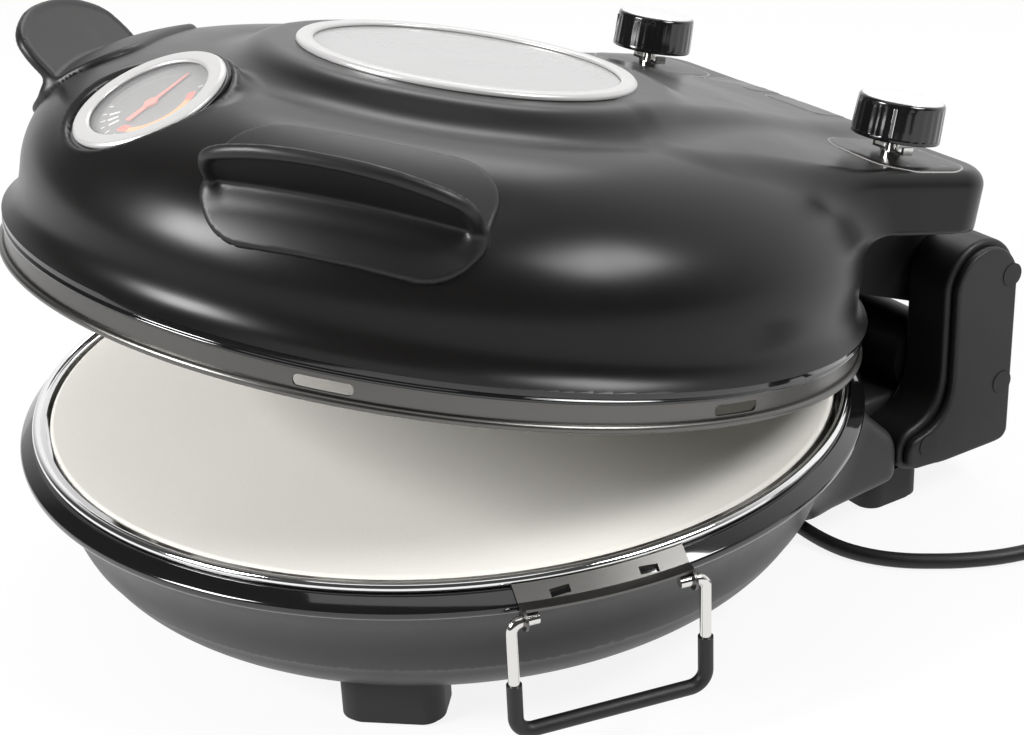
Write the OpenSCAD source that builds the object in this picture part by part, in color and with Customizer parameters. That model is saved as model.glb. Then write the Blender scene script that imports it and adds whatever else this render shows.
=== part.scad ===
// Electric pizza maker: a bowl-shaped base with a round baking stone and a
// domed lid on a rear hinge, with a top window, a dial gauge, two knobs,
// two lip handles and two fold-down bails for lifting the stone.
// Millimetres, +Z up, front of the appliance at -Y, hinge at +Y.
// The table is z = 0. The lid is drawn open by lid_open degrees.

/* [Stone and tray] */
// Radius of the baking stone
stone_r = 155; // [140:1:165]
// Thickness of the baking stone
stone_t = 12; // [8:1:14]
// Height of the stone's upper face above the table
stone_top = 76; // [74:1:86]
// Sheet thickness of the tray ring that carries the stone
tray_t = 1; // [0.8:0.1:1.5]
// Radius of the rolled wire bead on the tray ring
tray_bead_r = 1.8; // [1.2:0.1:2.4]
// Width of the ledge under the stone
tray_ledge = 8; // [5:1:12]

/* [Base] */
// Wall thickness of the bowl
bowl_wall = 3; // [2:0.5:4]
// Height of the bowl's flat underside above the table
bowl_bottom = 10; // [8:1:13]
// Radial depth of the round lower corner of the bowl
bowl_corner_r = 50; // [40:1:60]
// Height of the round lower corner of the bowl
bowl_corner_h = 36; // [28:1:40]
// Width of the gloss rim beyond the edge of the stone
rim_w = 12; // [11:0.5:15]
// Depth of the rim ring's outer edge
rim_lip = 2.3; // [1.5:0.1:4]
// Drop of the rim's sloping face
rim_drop = 3.8; // [2:0.1:6]
// Thickness of the reflector sheet under the element
reflector_t = 1; // [0.8:0.1:2]
// Outer diameter of the heating elements' tube
element_d = 6.6; // [5:0.1:8]
// Mean radius of the outer turn of the lower element
lower_turn_r = 118; // [95:1:125]
// Mean radius of the inner turn of the lower element
lower_turn_in_r = 72; // [50:1:85]
// Thickness of the bottom cover
cover_t = 3; // [2:0.5:4]
// Radius of the bottom cover
cover_r = 100; // [90:1:100]
// Half width of the rear neck between the towers
neck_half = 72.7; // [60:0.1:74]
// Height of the neck's underside above the table
neck_bottom = 17; // [15:1:20]
// Height of the neck's upper face above the table
neck_top = 43; // [40:1:48]

/* [Feet] */
// Width of a front foot
foot_w = 38; // [26:1:42]
// Depth of a front foot
foot_d = 26; // [22:1:34]
// Distance of the front feet from the bowl's axis
front_foot_r = 119; // [110:1:125]
// Angle of the front feet from the X axis
front_foot_angle = 41; // [30:1:60]
// Width and depth of a rear foot
rear_foot_w = 30; // [24:1:34]
// Distance of the rear feet from the middle plane
rear_foot_x = 73; // [65:1:80]
// Distance of the rear feet behind the bowl's axis
rear_foot_y = 165; // [158:1:172]

/* [Hinge] */
// Distance of the hinge axis behind the bowl's axis
hinge_y = 200; // [195:1:205]
// Height of the hinge axis above the stone's upper face
hinge_rise = 18; // [16:1:22]
// Radius of the hinge pins
pin_r = 5; // [4:0.5:6]
// Running clearance of the pins, on the radius
pin_gap = 0.05; // [0.02:0.01:0.1]
// Radius of the towers' round upper ends
tower_r = 19; // [16:1:20]
// Thickness of a tower body
tower_t = 23; // [18:1:26]
// Thickness of a tower's side cover
tower_cover_t = 4; // [2:0.5:6]
// Forward reach of a tower's foot from the hinge axis
tower_toe = 42; // [36:1:44]
// Radius of the lid's hinge barrel
barrel_r = 17; // [14:0.5:18]
// Thickness of the washers between barrel and towers
washer_t = 2; // [1:0.5:3]
// Radius of the cross member between the towers
cross_r = 16; // [12:0.5:17]

/* [Lid] */
// Angle by which the lid stands open
lid_open = 13; // [5:0.5:25]
// Height of the closed lid's bead plane below the stone's upper face
lid_seat_drop = 1.4; // [0.5:0.1:2]
// Sheet thickness of the dome
lid_wall = 2.5; // [1.5:0.5:3]
// Distance of the dome's upright side inside the rim's edge
dome_inset = 6; // [4:0.5:9]
// Height of the dome's upright part above the bead plane
dome_side_h = 30; // [24:1:36]
// Height of the shoulder above the bead plane
shoulder_h = 75.2; // [66:0.1:78]
// Radial depth of the dome's round shoulder
shoulder_a = 61; // [52:1:68]
// Outward flare of the dome's lower lip
lip_flare = 5.5; // [3:0.5:8]
// Height of the dome's lower lip above the bead plane
lip_h = 12.5; // [11:0.5:16]
// Height of the window plateau above the bead plane
plateau_h = 84; // [79:0.5:90]
// Radius of the plateau's upper edge
plateau_r = 79; // [75:1:86]
// Width of the sloping edge round the plateau
plateau_slope = 9; // [6:1:12]
// Distance of the gloss band's face inside the rim's edge
band_inset = 1.4; // [1:0.1:2.5]
// Height of the stainless skirt
skirt_h = 9; // [8:0.5:10]
// Sheet thickness of the skirt
skirt_t = 1; // [0.8:0.1:1.5]
// Radius of the rolled bead under the skirt
bead_r = 1.5; // [1:0.1:1.5]
// Length of a vent slot in the skirt
slot_w = 20; // [12:1:28]
// Height of a vent slot
slot_h = 4; // [2:0.5:5]

/* [Control deck] */
// Half width of the deck over the hinge
deck_half = 108; // [102:1:112]
// Distance of the deck's rear face behind the lid's axis
deck_rear = 187; // [182:1:190]
// Height of the deck above the bead plane
deck_h = 69; // [66:0.5:71]
// Depth of the deck from its upper face to its underside
deck_depth = 25; // [24:0.5:26]
// Radius of the deck's upright corners
deck_corner = 20; // [10:1:24]
// Distance of each knob from the middle plane
knob_x = 80; // [72:1:82]
// Distance of the knobs behind the lid's axis
knob_y = 150; // [145:1:155]
// Radius of a knob's skirt
knob_r = 17.5; // [14:0.5:19]
// Height of a knob
knob_h = 16; // [12:0.5:20]
// Gap between deck and knob
knob_lift = 7.5; // [5:0.5:10]
// Radius of a knob's shaft
shaft_r = 3; // [2.5:0.5:3.5]
// Width of a dial plate
dial_w = 48; // [42:1:52]
// Depth of a dial plate
dial_d = 44; // [38:1:46]
// Thickness of a dial plate
dial_t = 0.8; // [0.6:0.1:1]

/* [Window] */
// Outer radius of the window's bezel
bezel_r = 65; // [62:1:68]
// Radius of the clear opening
window_r = 58; // [52:1:58]
// Height of the bezel above the plateau
bezel_h = 2.4; // [1.5:0.1:3.5]
// Thickness of the window glass
glass_t = 3; // [2:0.5:4]

/* [Gauge] */
// Outer radius of the gauge's bezel
gauge_r = 28.8; // [24:0.1:32]
// Forward tilt of the gauge
gauge_tilt = 33; // [20:1:40]
// Distance of the gauge's face in front of the lid's axis
gauge_y = 128.5; // [122:0.5:132]
// Height of the gauge's face above the bead plane
gauge_h = 68; // [66:0.5:70]
// Depth of the gauge's case
gauge_depth = 14; // [10:1:18]
// Depth of the dial's face under the bezel's face
dial_drop = 3.4; // [3.4:0.1:6]

/* [Handles] */
// Angle of each handle from the front
handle_angle = 44; // [38:1:52]
// Width of a handle plate
handle_w = 94; // [80:1:104]
// Height of a handle plate along the dome
handle_d = 50; // [40:1:54]
// Thickness of a handle plate
handle_t = 2; // [1.5:0.1:3]
// Reach of a handle's lip from the dome
handle_reach = 30; // [20:1:36]
// Upward slope of a handle's lip
handle_slope = 36; // [15:1:40]
// Height of the lip's root above the bead plane
handle_root_h = 60; // [54:1:64]

/* [Bails] */
// Angle of the bails in front of the X axis
bail_angle = 12; // [0:1:25]
// Width of a bail over its wire
bail_w = 74; // [64:1:84]
// Drop of a bail below its axis
bail_drop = 43; // [36:1:48]
// Radius of a bail's wire
bail_wire_r = 2; // [1.5:0.1:2.2]
// Thickness of the sleeve on the lower part of a bail
sleeve_t = 0.7; // [0.5:0.1:1]
// Sheet thickness of a bail's bracket
bracket_t = 1; // [0.8:0.1:1]
// Running clearance of a bail in its ears, on the radius
bail_gap = 0.08; // [0.03:0.01:0.1]

/* [Cord] */
// Diameter of the mains cord
cord_d = 6.2; // [5:0.1:7]
// Length of the strain relief
relief_l = 26; // [20:1:30]
// Radius of the plug's body
plug_r = 18.5; // [14:0.5:19]
// Length of the plug's body
plug_l = 46; // [40:1:52]

/* [Hidden] */
$fn = 96;

// fits and small offsets shared by several pieces
touch_gap = 0.3;
sheet_gap = 0.2;
cut = 1;

// base heights and radii
rim_outer_r = stone_r + rim_w;
rim_top = stone_top - 2.4;
rim_seat_r = stone_r + 7;
rim_bore_r = stone_r + 3;
flange_z = rim_top - rim_drop - rim_lip - 1.5;
bowl_top_r = rim_outer_r - 3.5;
bowl_knee_r = rim_outer_r - 16;
bowl_knee_z = bowl_bottom + bowl_corner_h;
bowl_corner_x = bowl_knee_r - bowl_corner_r;
bowl_bore_r = rim_bore_r;
tray_wall_r = rim_bore_r - 0.7;
tray_bead_x = rim_bore_r + tray_bead_r;
stone_bottom = stone_top - stone_t;
reflector_r = tray_wall_r - tray_t - tray_ledge - 2;
reflector_z = neck_top - 6;
element_z = stone_bottom - 17;
neck_rear = hinge_y + 17;
neck_front = 110;
flare_half = neck_half + tower_t + tower_cover_t - touch_gap;
flare_rear = hinge_y - tower_toe - touch_gap;
flare_top = neck_bottom + 20;
flare_nose_x = 104;
flare_nose_y = 107;
hinge_z = stone_top + hinge_rise;

// the box without the cord is centred on the origin, front to back
box_front = rim_outer_r;
box_rear = hinge_y + tower_r;
centre_shift = (box_front - box_rear) / 2;

// towers
tower_in = neck_half + touch_gap;
tower_mid = tower_in + tower_t;
tower_bottom = neck_bottom + 0.5;
tower_foot_h = 20;
tower_corner = 9;
cap_r = 5;
tower_caps = [[13, 2], [11, -46], [-29, -63]];

// lid heights in the lid's own frame, whose origin is the middle of the bead
lid_seat = stone_top - lid_seat_drop;
axis_h = hinge_z - lid_seat;
skirt_r = rim_outer_r - 2;
dome_r = rim_outer_r - dome_inset;
shoulder_r = dome_r - shoulder_a;
band_r = rim_outer_r - band_inset;
deck_floor = deck_h - deck_depth;
shoulder_b = shoulder_h - dome_side_h;
lip_r = dome_r + lip_flare;
tail_half = plateau_r * 0.79;
tail_start = bezel_r - 7;
barrel_half = tower_in - washer_t;
neck_lid_half = barrel_half - 1;
glass_top = plateau_h + bezel_h - 1.6;
well_r = window_r - 1;
slot_angles = [46, 96, 264, 314];

// hood of the lid and the element under it
stem_r = 3;
upper_turn_r = shoulder_r + 12;
upper_turn_in_r = upper_turn_r - 28;
upper_element_h = 40;
hood_knee = [upper_turn_r + 4, upper_element_h + 14];
hood_top = [window_r + 14, upper_element_h + 22];

// gauge
gauge_dial_r = gauge_r - 6.5;
gauge_bore_r = gauge_r - 4;
bezel_lip = 1.2;
gauge_lens_t = 0.8;
needle_lift = 0.2;
hub_t = 0.8;
needle_rest = 102;
needle_tail = 11;

// handles
lip_t = 3;
handle_round = 20;
handle_root_r = shoulder_r + shoulder_a * cos(handle_root_angle());
lip_circle_r = 90;
lip_corner = 24;

// bails
bail_bend_top = 3.6;
bail_bend = 6;
sleeve_from = 0.55;
bail_half = bail_w / 2 - bail_wire_r;
ear_y = bail_half - bail_bend_top - bracket_t;
bracket_span = 2 * ear_y + bracket_t;
bail_axis_r = rim_outer_r + 1.5;
bail_axis_z = rim_top - rim_drop - bail_wire_r - 1.4;
bracket_r = rim_outer_r + 4.6;
bracket_rise = 0.15;

// cord: points of the free stretch, laid on the table, base frame
outlet_x = 44;
outlet_y = 114;
outlet_z = 8;
coil_x = 190;
coil_y = 215;
coil_mean_r = 35;
cord_route = [
    [68.5, 114, 8], [76, 114.2, 7.4], [86, 115.2, 5.2], [97, 117.2, 3.5], [108.5, 120, 3.1],
    [119.5, 125.5, 3.1], [128.4, 133, 3.1], [135, 141, 3.1], [141.6, 150.5, 3.1],
    [148, 163, 3.1], [152, 175, 3.1], [153.3, 184, 3.1], [153.2, 191, 3.1]];

function handle_root_angle() = asin((handle_root_h - dome_side_h) / shoulder_b);

// ---- shared frames ----------------------------------------------------

module base_frame() {
    translate([0, centre_shift, 0]) children();
}

// the lid's frame: origin at the middle of its bead, opened about the hinge
module lid_frame() {
    base_frame()
    translate([0, hinge_y, hinge_z])
    rotate([-lid_open, 0, 0])
    translate([0, -hinge_y, -axis_h])
    children();
}

// frame of a gauge part: origin in the middle of the bezel's face
module gauge_frame() {
    lid_frame()
    translate([0, -gauge_y, gauge_h])
    rotate([gauge_tilt, 0, 0])
    children();
}

module knob_frame(side) {
    lid_frame()
    translate([side * knob_x, knob_y, deck_h])
    children();
}

// frame of a bail: X outward, Y along its axis, origin on the axis
module bail_frame(side) {
    base_frame()
    mirror([side < 0 ? 1 : 0, 0, 0])
    rotate([0, 0, -bail_angle])
    translate([bail_axis_r, 0, bail_axis_z])
    children();
}

// ---- shared shapes ----------------------------------------------------

module ring(r_out, r_in, z0, z1) {
    rotate_extrude() translate([r_in, z0]) square([r_out - r_in, z1 - z0]);
}

module bead_ring(r, bead, z) {
    rotate_extrude() translate([r, z]) circle(bead, $fn = 32);
}

// flat outline with round corners, centred
module round_rect(w, d, r) {
    square([w - 2 * r, d], center = true);
    square([w, d - 2 * r], center = true);
    for (sx = [-1, 1])
        for (sy = [-1, 1])
            translate([sx * (w / 2 - r), sy * (d / 2 - r)]) circle(r, $fn = 48);
}

module screw(r, l) {
    translate([0, 0, -l]) cylinder(r = 1.7, h = l, $fn = 24);
    cylinder(r = r, h = r * 0.5, $fn = 32);
}

// ---- base -------------------------------------------------------------

// outer profile of the bowl, brought in by the given wall
function bowl_points(inset) = concat(
    [[0, bowl_bottom + inset]],
    [for (a = [-90:9:0]) [
        bowl_corner_x + (bowl_corner_r - inset) * cos(a),
        bowl_knee_z + (bowl_corner_h - inset) * sin(a)]],
    [[bowl_top_r - inset, flange_z], [0, flange_z]]);

module bowl_body(inset) {
    rotate_extrude() polygon(bowl_points(inset));
}

// rear neck and the flares that lead from the bowl to the towers' toes
module neck_body(inset) {
    z0 = neck_bottom + inset;
    translate([inset - neck_half, neck_front, z0])
        cube([2 * (neck_half - inset), neck_rear - neck_front - inset, neck_top - inset - z0]);
    side = [[flare_nose_x - inset, flare_nose_y + inset], [flare_half + 2 - inset, flare_rear - 28],
        [flare_half - inset, flare_rear - inset]];
    flare_plan = concat([[-60, neck_front - 12], [60, neck_front - 12]], side,
        [for (i = [2:-1:0]) [-side[i][0], side[i][1]]]);
    intersection() {
        translate([0, 0, z0]) linear_extrude(flange_z - z0) polygon(flare_plan);
        rotate([90, 0, 90]) translate([0, 0, -flare_half])
            linear_extrude(2 * flare_half) polygon([
                [neck_front - 20, z0], [flare_rear - inset, z0],
                [flare_rear - inset, flare_top - inset],
                [neck_front + 16 - inset, flange_z - inset], [neck_front - 20, flange_z - inset]]);
    }
}

module base_bowl() {
    color("dimgray") base_frame() difference() {
        union() {
            bowl_body(0);
            neck_body(0);
        }
        bowl_body(bowl_wall);
        neck_body(bowl_wall);
        translate([0, 0, flange_z - 8]) cylinder(r = bowl_bore_r, h = 8 + cut);
        base_screw_places() cylinder(r = 1.8, h = 30, center = true, $fn = 24);
        neck_screw_places() cylinder(r = 1.8, h = 30, center = true, $fn = 24);
    }
}

module base_screw_places() {
    for (a = [0:90:270])
        rotate([0, 0, a + 5]) translate([cover_r - 12, 0, bowl_bottom]) children();
}

module neck_screw_places() {
    for (side = [-1, 1])
        for (y = [20, 55])
            translate([side * 45, hinge_y - y, neck_bottom]) children();
}

module base_rim() {
    color("black") base_frame() rotate_extrude() polygon([
        [rim_bore_r, flange_z], [rim_bore_r, rim_top], [rim_seat_r, rim_top],
        [rim_outer_r, rim_top - rim_drop], [rim_outer_r, rim_top - rim_drop - rim_lip],
        [rim_outer_r - 1.5, flange_z]]);
}

module tray_ring() {
    color("silver") base_frame() rotate_extrude() {
        translate([tray_wall_r - tray_t, stone_bottom - tray_t])
            square([tray_t, rim_top + tray_bead_r + 0.6 - stone_bottom + tray_t]);
        translate([tray_wall_r - tray_t - tray_ledge, stone_bottom - tray_t])
            square([tray_ledge + tray_t, tray_t]);
        translate([tray_wall_r - tray_t, rim_top + tray_bead_r - 0.4])
            square([tray_bead_x - tray_wall_r + tray_t, tray_t]);
        translate([tray_bead_x, rim_top + tray_bead_r]) circle(tray_bead_r, $fn = 32);
    }
}

module pizza_stone() {
    color("ivory") base_frame() rotate_extrude() polygon([
        [0, stone_bottom], [stone_r - 2, stone_bottom], [stone_r, stone_bottom + 2],
        [stone_r, stone_top - 1.2], [stone_r - 1.2, stone_top], [0, stone_top]]);
}

module base_reflector() {
    r = reflector_r;
    t = reflector_t;
    color("silver") base_frame() difference() {
        rotate_extrude() polygon([
            [0, reflector_z], [r - 20, reflector_z], [r, stone_bottom - tray_t - t],
            [tray_wall_r, stone_bottom - tray_t - t], [tray_wall_r, stone_bottom - tray_t],
            [r - 0.6, stone_bottom - tray_t], [r - 20.6, reflector_z + t],
            [0, reflector_z + t]]);
        for (side = [-1, 1])
            translate([side * 12, lower_turn_in_r, 0]) cylinder(r = element_d, h = stone_top);
    }
}

module element_turns(r_out, r_in, z) {
    bead_ring(r_out, element_d / 2, z);
    bead_ring(r_in, element_d / 2, z);
    for (a = [30, 150])
        rotate([0, 0, a]) translate([r_in, 0, z]) rotate([0, 90, 0])
            cylinder(r = element_d / 2 - 0.3, h = r_out - r_in, $fn = 32);
}

module lower_element() {
    color("dimgray") base_frame() {
        element_turns(lower_turn_r, lower_turn_in_r, element_z);
        for (side = [-1, 1])
            translate([side * 12, lower_turn_in_r - 1, reflector_z - 8])
                cylinder(r = element_d / 2 - 0.3, h = element_z - reflector_z + 8, $fn = 32);
    }
}

module lower_element_supports() {
    color("silver") base_frame()
        for (a = [90, 210, 330])
            rotate([0, 0, a]) difference() {
                translate([lower_turn_r - 6, -4, reflector_z + reflector_t])
                    cube([12, 8, element_z - reflector_z - reflector_t + 2]);
                translate([lower_turn_r, 0, element_z]) rotate([90, 0, 0])
                    cylinder(r = element_d / 2 + sheet_gap, h = 20, center = true, $fn = 32);
                translate([lower_turn_r - element_d / 2 - sheet_gap, -5, element_z])
                    cube([element_d + 2 * sheet_gap, 10, 10]);
            }
}

// housing for the cord's outlet, between the bowl and the table
module outlet_block() {
    front = cover_r - 20;
    translate([outlet_x - 24, front, outlet_z - 4.6])
        cube([24, outlet_y + 10 - front, neck_bottom - outlet_z + 4.6]);
}

module bottom_cover() {
    color("black") base_frame() difference() {
        union() {
            translate([0, 0, bowl_bottom - cover_t]) cylinder(r = cover_r, h = cover_t);
            outlet_block();
        }
        bowl_body(0);
        base_screw_places() cylinder(r = 1.8, h = 30, center = true, $fn = 24);
    }
}

module base_screws() {
    color("silver") base_frame() {
        base_screw_places()
            translate([0, 0, -cover_t]) mirror([0, 0, 1]) screw(3, cover_t + bowl_wall + 4);
        neck_screw_places() mirror([0, 0, 1]) screw(3, bowl_wall + 6);
    }
}

module foot_block(w, d, h) {
    translate([0, 0, 1.5]) linear_extrude(h - 1.5) round_rect(w, d, 8);
    linear_extrude(1.6) round_rect(w - 3, d - 3, 7);
}

module front_foot(side) {
    color("black") base_frame() mirror([side < 0 ? 1 : 0, 0, 0]) difference() {
        rotate([0, 0, -front_foot_angle]) translate([front_foot_r, 0, 0])
            rotate([0, 0, 90]) foot_block(foot_w, foot_d, bowl_knee_z);
        bowl_body(0);
    }
}

module rear_foot(side) {
    color("black") base_frame()
        translate([side * rear_foot_x, rear_foot_y, 0])
            foot_block(rear_foot_w, rear_foot_w, neck_bottom);
}

module foot_front_left() front_foot(-1);
module foot_front_right() front_foot(1);
module foot_rear_left() rear_foot(-1);
module foot_rear_right() rear_foot(1);

module terminal_block() {
    color("white") base_frame() translate([-24, neck_front + 50, neck_bottom + bowl_wall]) {
        difference() {
            cube([48, 16, 12]);
            for (i = [0:3])
                translate([6 + 12 * i, 8, 3]) cylinder(r = 2.4, h = 12, $fn = 24);
        }
    }
}

module thermal_cutout() {
    color("silver") base_frame() translate([0, -30, reflector_z]) mirror([0, 0, 1]) {
        cylinder(r = 8, h = 3);
        translate([0, 0, 3]) cylinder(r = 6, h = 6);
        for (side = [-1, 1])
            translate([side * 10 - 4, -3, 0]) cube([8, 6, 1]);
    }
}

// ---- hinge ------------------------------------------------------------

// side outline of a tower: X is the object's Y from the hinge axis, Y is up
module tower_outline(inset) {
    r = tower_r - inset;
    toe = tower_toe - inset;
    low = tower_bottom - hinge_z + inset;
    mid = low + tower_corner;
    top = low + tower_foot_h - 2 * inset;
    polygon([[tower_corner - toe, low], [r - tower_corner, low], [r, mid], [r, 0], [-r, 0],
        [-r, top + 24], [-r - 5, top + 11], [6 - toe, top], [1 - toe, top - 3], [-toe, mid]]);
    circle(r);
    translate([r - tower_corner, mid]) circle(tower_corner, $fn = 48);
    translate([tower_corner - toe, mid]) circle(tower_corner, $fn = 48);
}

module tower(side) {
    color("black") base_frame() translate([side > 0 ? tower_in : -tower_mid, hinge_y, hinge_z])
        rotate([90, 0, 90]) difference() {
            linear_extrude(tower_t) tower_outline(0);
            pin_bore(side);
        }
}

module pin_bore(side) {
    translate([0, 0, side > 0 ? -cut : 5])
        cylinder(r = pin_r + pin_gap, h = tower_t - 5 + cut);
}

module tower_cover(side) {
    color("dimgray") base_frame()
        translate([side > 0 ? tower_mid : -tower_mid - tower_cover_t, hinge_y, hinge_z])
        rotate([90, 0, 90]) difference() {
            linear_extrude(tower_cover_t) tower_outline(2.5);
            for (p = tower_caps)
                translate([p[0], p[1], side > 0 ? 1.5 : -cut])
                    cylinder(r = cap_r + 0.15, h = tower_cover_t - 1.5 + cut, $fn = 48);
        }
}

module hinge_tower_left() tower(-1);
module hinge_tower_right() tower(1);
module tower_cover_left() tower_cover(-1);
module tower_cover_right() tower_cover(1);

module tower_screw_caps() {
    outer = tower_mid + tower_cover_t;
    color("black") base_frame() for (side = [-1, 1])
        translate([side > 0 ? outer - tower_cover_t + 1.5 : -outer - 0.3, hinge_y, hinge_z])
            rotate([90, 0, 90]) for (p = tower_caps)
                translate([p[0], p[1], 0])
                    cylinder(r = cap_r, h = tower_cover_t - 1.2, $fn = 48);
}

module hinge_cross_member() {
    color("dimgray") base_frame() intersection() {
        translate([-neck_half, hinge_y - 8, neck_top + cross_r - 3]) rotate([0, 90, 0])
            cylinder(r = cross_r, h = 2 * neck_half);
        translate([-neck_half, 0, neck_top]) cube([2 * neck_half, 300, 100]);
    }
}

module hinge_pins() {
    color("silver") base_frame() for (side = [-1, 1])
        translate([side > 0 ? barrel_half - 22 : -tower_mid + 5, hinge_y, hinge_z])
            rotate([0, 90, 0]) cylinder(r = pin_r, h = tower_mid - 5 - barrel_half + 22);
}

module hinge_washers() {
    color("gray") base_frame() for (side = [-1, 1])
        translate([side > 0 ? barrel_half + sheet_gap : -tower_in, hinge_y, hinge_z])
            rotate([0, 90, 0]) difference() {
                cylinder(r = barrel_r - 4, h = washer_t - sheet_gap);
                translate([0, 0, -cut]) cylinder(r = pin_r + pin_gap, h = washer_t + 2 * cut);
            }
}

// ---- bails ------------------------------------------------------------

// curved plate over the rim with two punched slots and an ear at each end
module bail_bracket(side) {
    t = bracket_t;
    over = rim_top + bracket_rise;
    edge = over - rim_drop;
    rise = t * 1.25;
    color("silver") base_frame() mirror([side < 0 ? 1 : 0, 0, 0])
        rotate([0, 0, -bail_angle]) difference() {
            union() {
                intersection() {
                    rotate_extrude() polygon([
                        [rim_seat_r - 0.2, over], [rim_seat_r, over], [rim_outer_r, edge],
                        [bracket_r, edge - 0.5], [bracket_r, edge - 0.5 + t],
                        [rim_outer_r + 0.5, edge + rise - 0.2], [rim_seat_r, over + rise],
                        [rim_seat_r - 0.2, over + rise]]);
                    translate([100, -bracket_span / 2, 0]) cube([100, bracket_span, 200]);
                }
                for (s = [-1, 1])
                    translate([bail_axis_r, s * ear_y, bail_axis_z]) rotate([90, 0, 0])
                        translate([0, 0, -t / 2]) linear_extrude(t) {
                            circle(bail_wire_r + 1.6, $fn = 48);
                            polygon([[-2.6, 0], [bail_wire_r + 1.2, 0], [0.8, edge - bail_axis_z + 0.3],
                                [-2.6, edge - bail_axis_z + 0.3]]);
                        }
            }
            for (s = [-1, 1])
                translate([rim_seat_r + 3, s * 16, rim_top])
                    cube([2.4, 7, 30], center = true);
            translate([bail_axis_r, 0, bail_axis_z]) rotate([90, 0, 0])
                cylinder(r = bail_wire_r + bail_gap, h = bail_w, center = true, $fn = 48);
        }
}

module bail_bracket_left() bail_bracket(-1);
module bail_bracket_right() bail_bracket(1);

// round bar bent to a U, hanging from its axis along Y
module bail_bar(r) {
    half = bail_half;
    t = bail_bend_top;
    b = bail_bend;
    for (s = [-1, 1]) {
        translate([0, s * (ear_y - 5), 0]) rotate([s * -90, 0, 0])
            cylinder(r = r, h = half - t - ear_y + 5, $fn = 32);
        translate([0, s * (half - t), -t]) rotate([90, 0, s > 0 ? 90 : -90])
            rotate_extrude(angle = 90, $fn = 96) translate([t, 0]) circle(r, $fn = 32);
        translate([0, s * half, b - bail_drop])
            cylinder(r = r, h = bail_drop - t - b, $fn = 32);
        translate([0, s * (half - b), b - bail_drop]) rotate([90, 90, s > 0 ? 90 : -90])
            rotate_extrude(angle = 90, $fn = 96) translate([b, 0]) circle(r, $fn = 32);
    }
    translate([0, b - half, -bail_drop]) rotate([-90, 0, 0])
        cylinder(r = r, h = 2 * (half - b), $fn = 32);
}

module sleeve_range() {
    translate([-10, -bail_w, -bail_drop - 10])
        cube([20, 2 * bail_w, 10 + bail_drop * (1 - sleeve_from)]);
}

module bail_wire(side) {
    color("silver") bail_frame(side) bail_bar(bail_wire_r);
}

module bail_sleeve(side) {
    color("black") bail_frame(side) intersection() {
        difference() {
            bail_bar(bail_wire_r + sleeve_t);
            bail_bar(bail_wire_r + 0.01);
        }
        sleeve_range();
    }
}

module bail_left() bail_wire(-1);
module bail_right() bail_wire(1);
module bail_sleeve_left() bail_sleeve(-1);
module bail_sleeve_right() bail_sleeve(1);

// ---- lid --------------------------------------------------------------

// outer profile of the dome above its lip, grown by the given offset
function dome_points(grow, low) = concat(
    [[0, low], [lip_r + grow, low]],
    low < lip_h ? [[lip_r + grow, lip_h]] : [],
    [for (k = [1:4]) [
        dome_r + grow + lip_flare * pow(1 - k / 5, 2),
        lip_h + (dome_side_h - lip_h) * k / 5]],
    [for (a = [0:6:90]) [
        shoulder_r + (shoulder_a + grow) * cos(a),
        dome_side_h + (shoulder_b + grow) * sin(a)]],
    [[0, shoulder_h + grow]]);

module dome_body(grow) {
    rotate_extrude() polygon(dome_points(grow, lip_h));
}

module plateau_body(grow) {
    rotate_extrude() polygon([
        [0, dome_side_h], [plateau_r + plateau_slope + grow, dome_side_h],
        [plateau_r + plateau_slope + grow, shoulder_h + grow],
        [plateau_r + grow, plateau_h + grow], [0, plateau_h + grow]]);
    // the tail that slopes down to the deck between two leaning sides
    intersection() {
        rotate([90, 0, 90]) translate([0, 0, -plateau_r]) linear_extrude(2 * plateau_r)
            polygon([[30, deck_h - 4], [30, plateau_h + grow], [tail_start, plateau_h + grow],
                [knob_y - 5, deck_h + grow], [knob_y - 5, deck_h - 4]]);
        tail_side(grow);
        mirror([1, 0, 0]) tail_side(grow);
    }
}

module tail_side(grow) {
    translate([tail_half, tail_start, plateau_h]) rotate([0, 43.7, 23])
        translate([-150, -150, -300]) cube([300, 300, 300 + grow]);
}

// box over the hinge: the meeting of a plan, a side view and a rear view
module deck_body(grow) {
    w = deck_half + grow;
    top = deck_h + grow;
    low = deck_floor - (grow < 0 ? cut : 0);
    soft = 7;
    intersection() {
        translate([0, 0, low]) linear_extrude(top - low) {
            translate([-w, 60]) square([2 * w, deck_rear + grow - 60 - deck_corner]);
            translate([deck_corner - w, 60])
                square([2 * (w - deck_corner), deck_rear + grow - 60]);
            for (s = [-1, 1])
                translate([s * (w - deck_corner), deck_rear + grow - deck_corner])
                    circle(deck_corner);
        }
        rotate([90, 0, 90]) translate([0, 0, -200]) linear_extrude(400) {
            translate([90, low]) square([deck_rear + grow - 90, top - soft - low]);
            translate([90, low]) square([deck_rear + grow - soft - 90, top - low]);
            translate([deck_rear + grow - soft, top - soft]) circle(soft, $fn = 48);
        }
        rotate([90, 0, 0]) translate([0, 0, -300]) linear_extrude(300) {
            translate([-w, low]) square([2 * w, top - soft - low]);
            translate([soft - w, low]) square([2 * (w - soft), top - low]);
            for (s = [-1, 1])
                translate([s * (w - soft), top - soft]) circle(soft, $fn = 48);
        }
    }
}

// round pod that carries the gauge, along the gauge's own axis
module pod_body(grow) {
    intersection() {
        translate([0, -gauge_y, gauge_h]) rotate([gauge_tilt, 0, 0])
            translate([0, 0, -40]) cylinder(r1 = gauge_r + 10 + grow, r2 = gauge_r + 3 + grow, h = 37 + grow);
        translate([0, 0, dome_side_h + 10]) cylinder(r = dome_r + 2 + grow, h = 100);
    }
}

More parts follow.
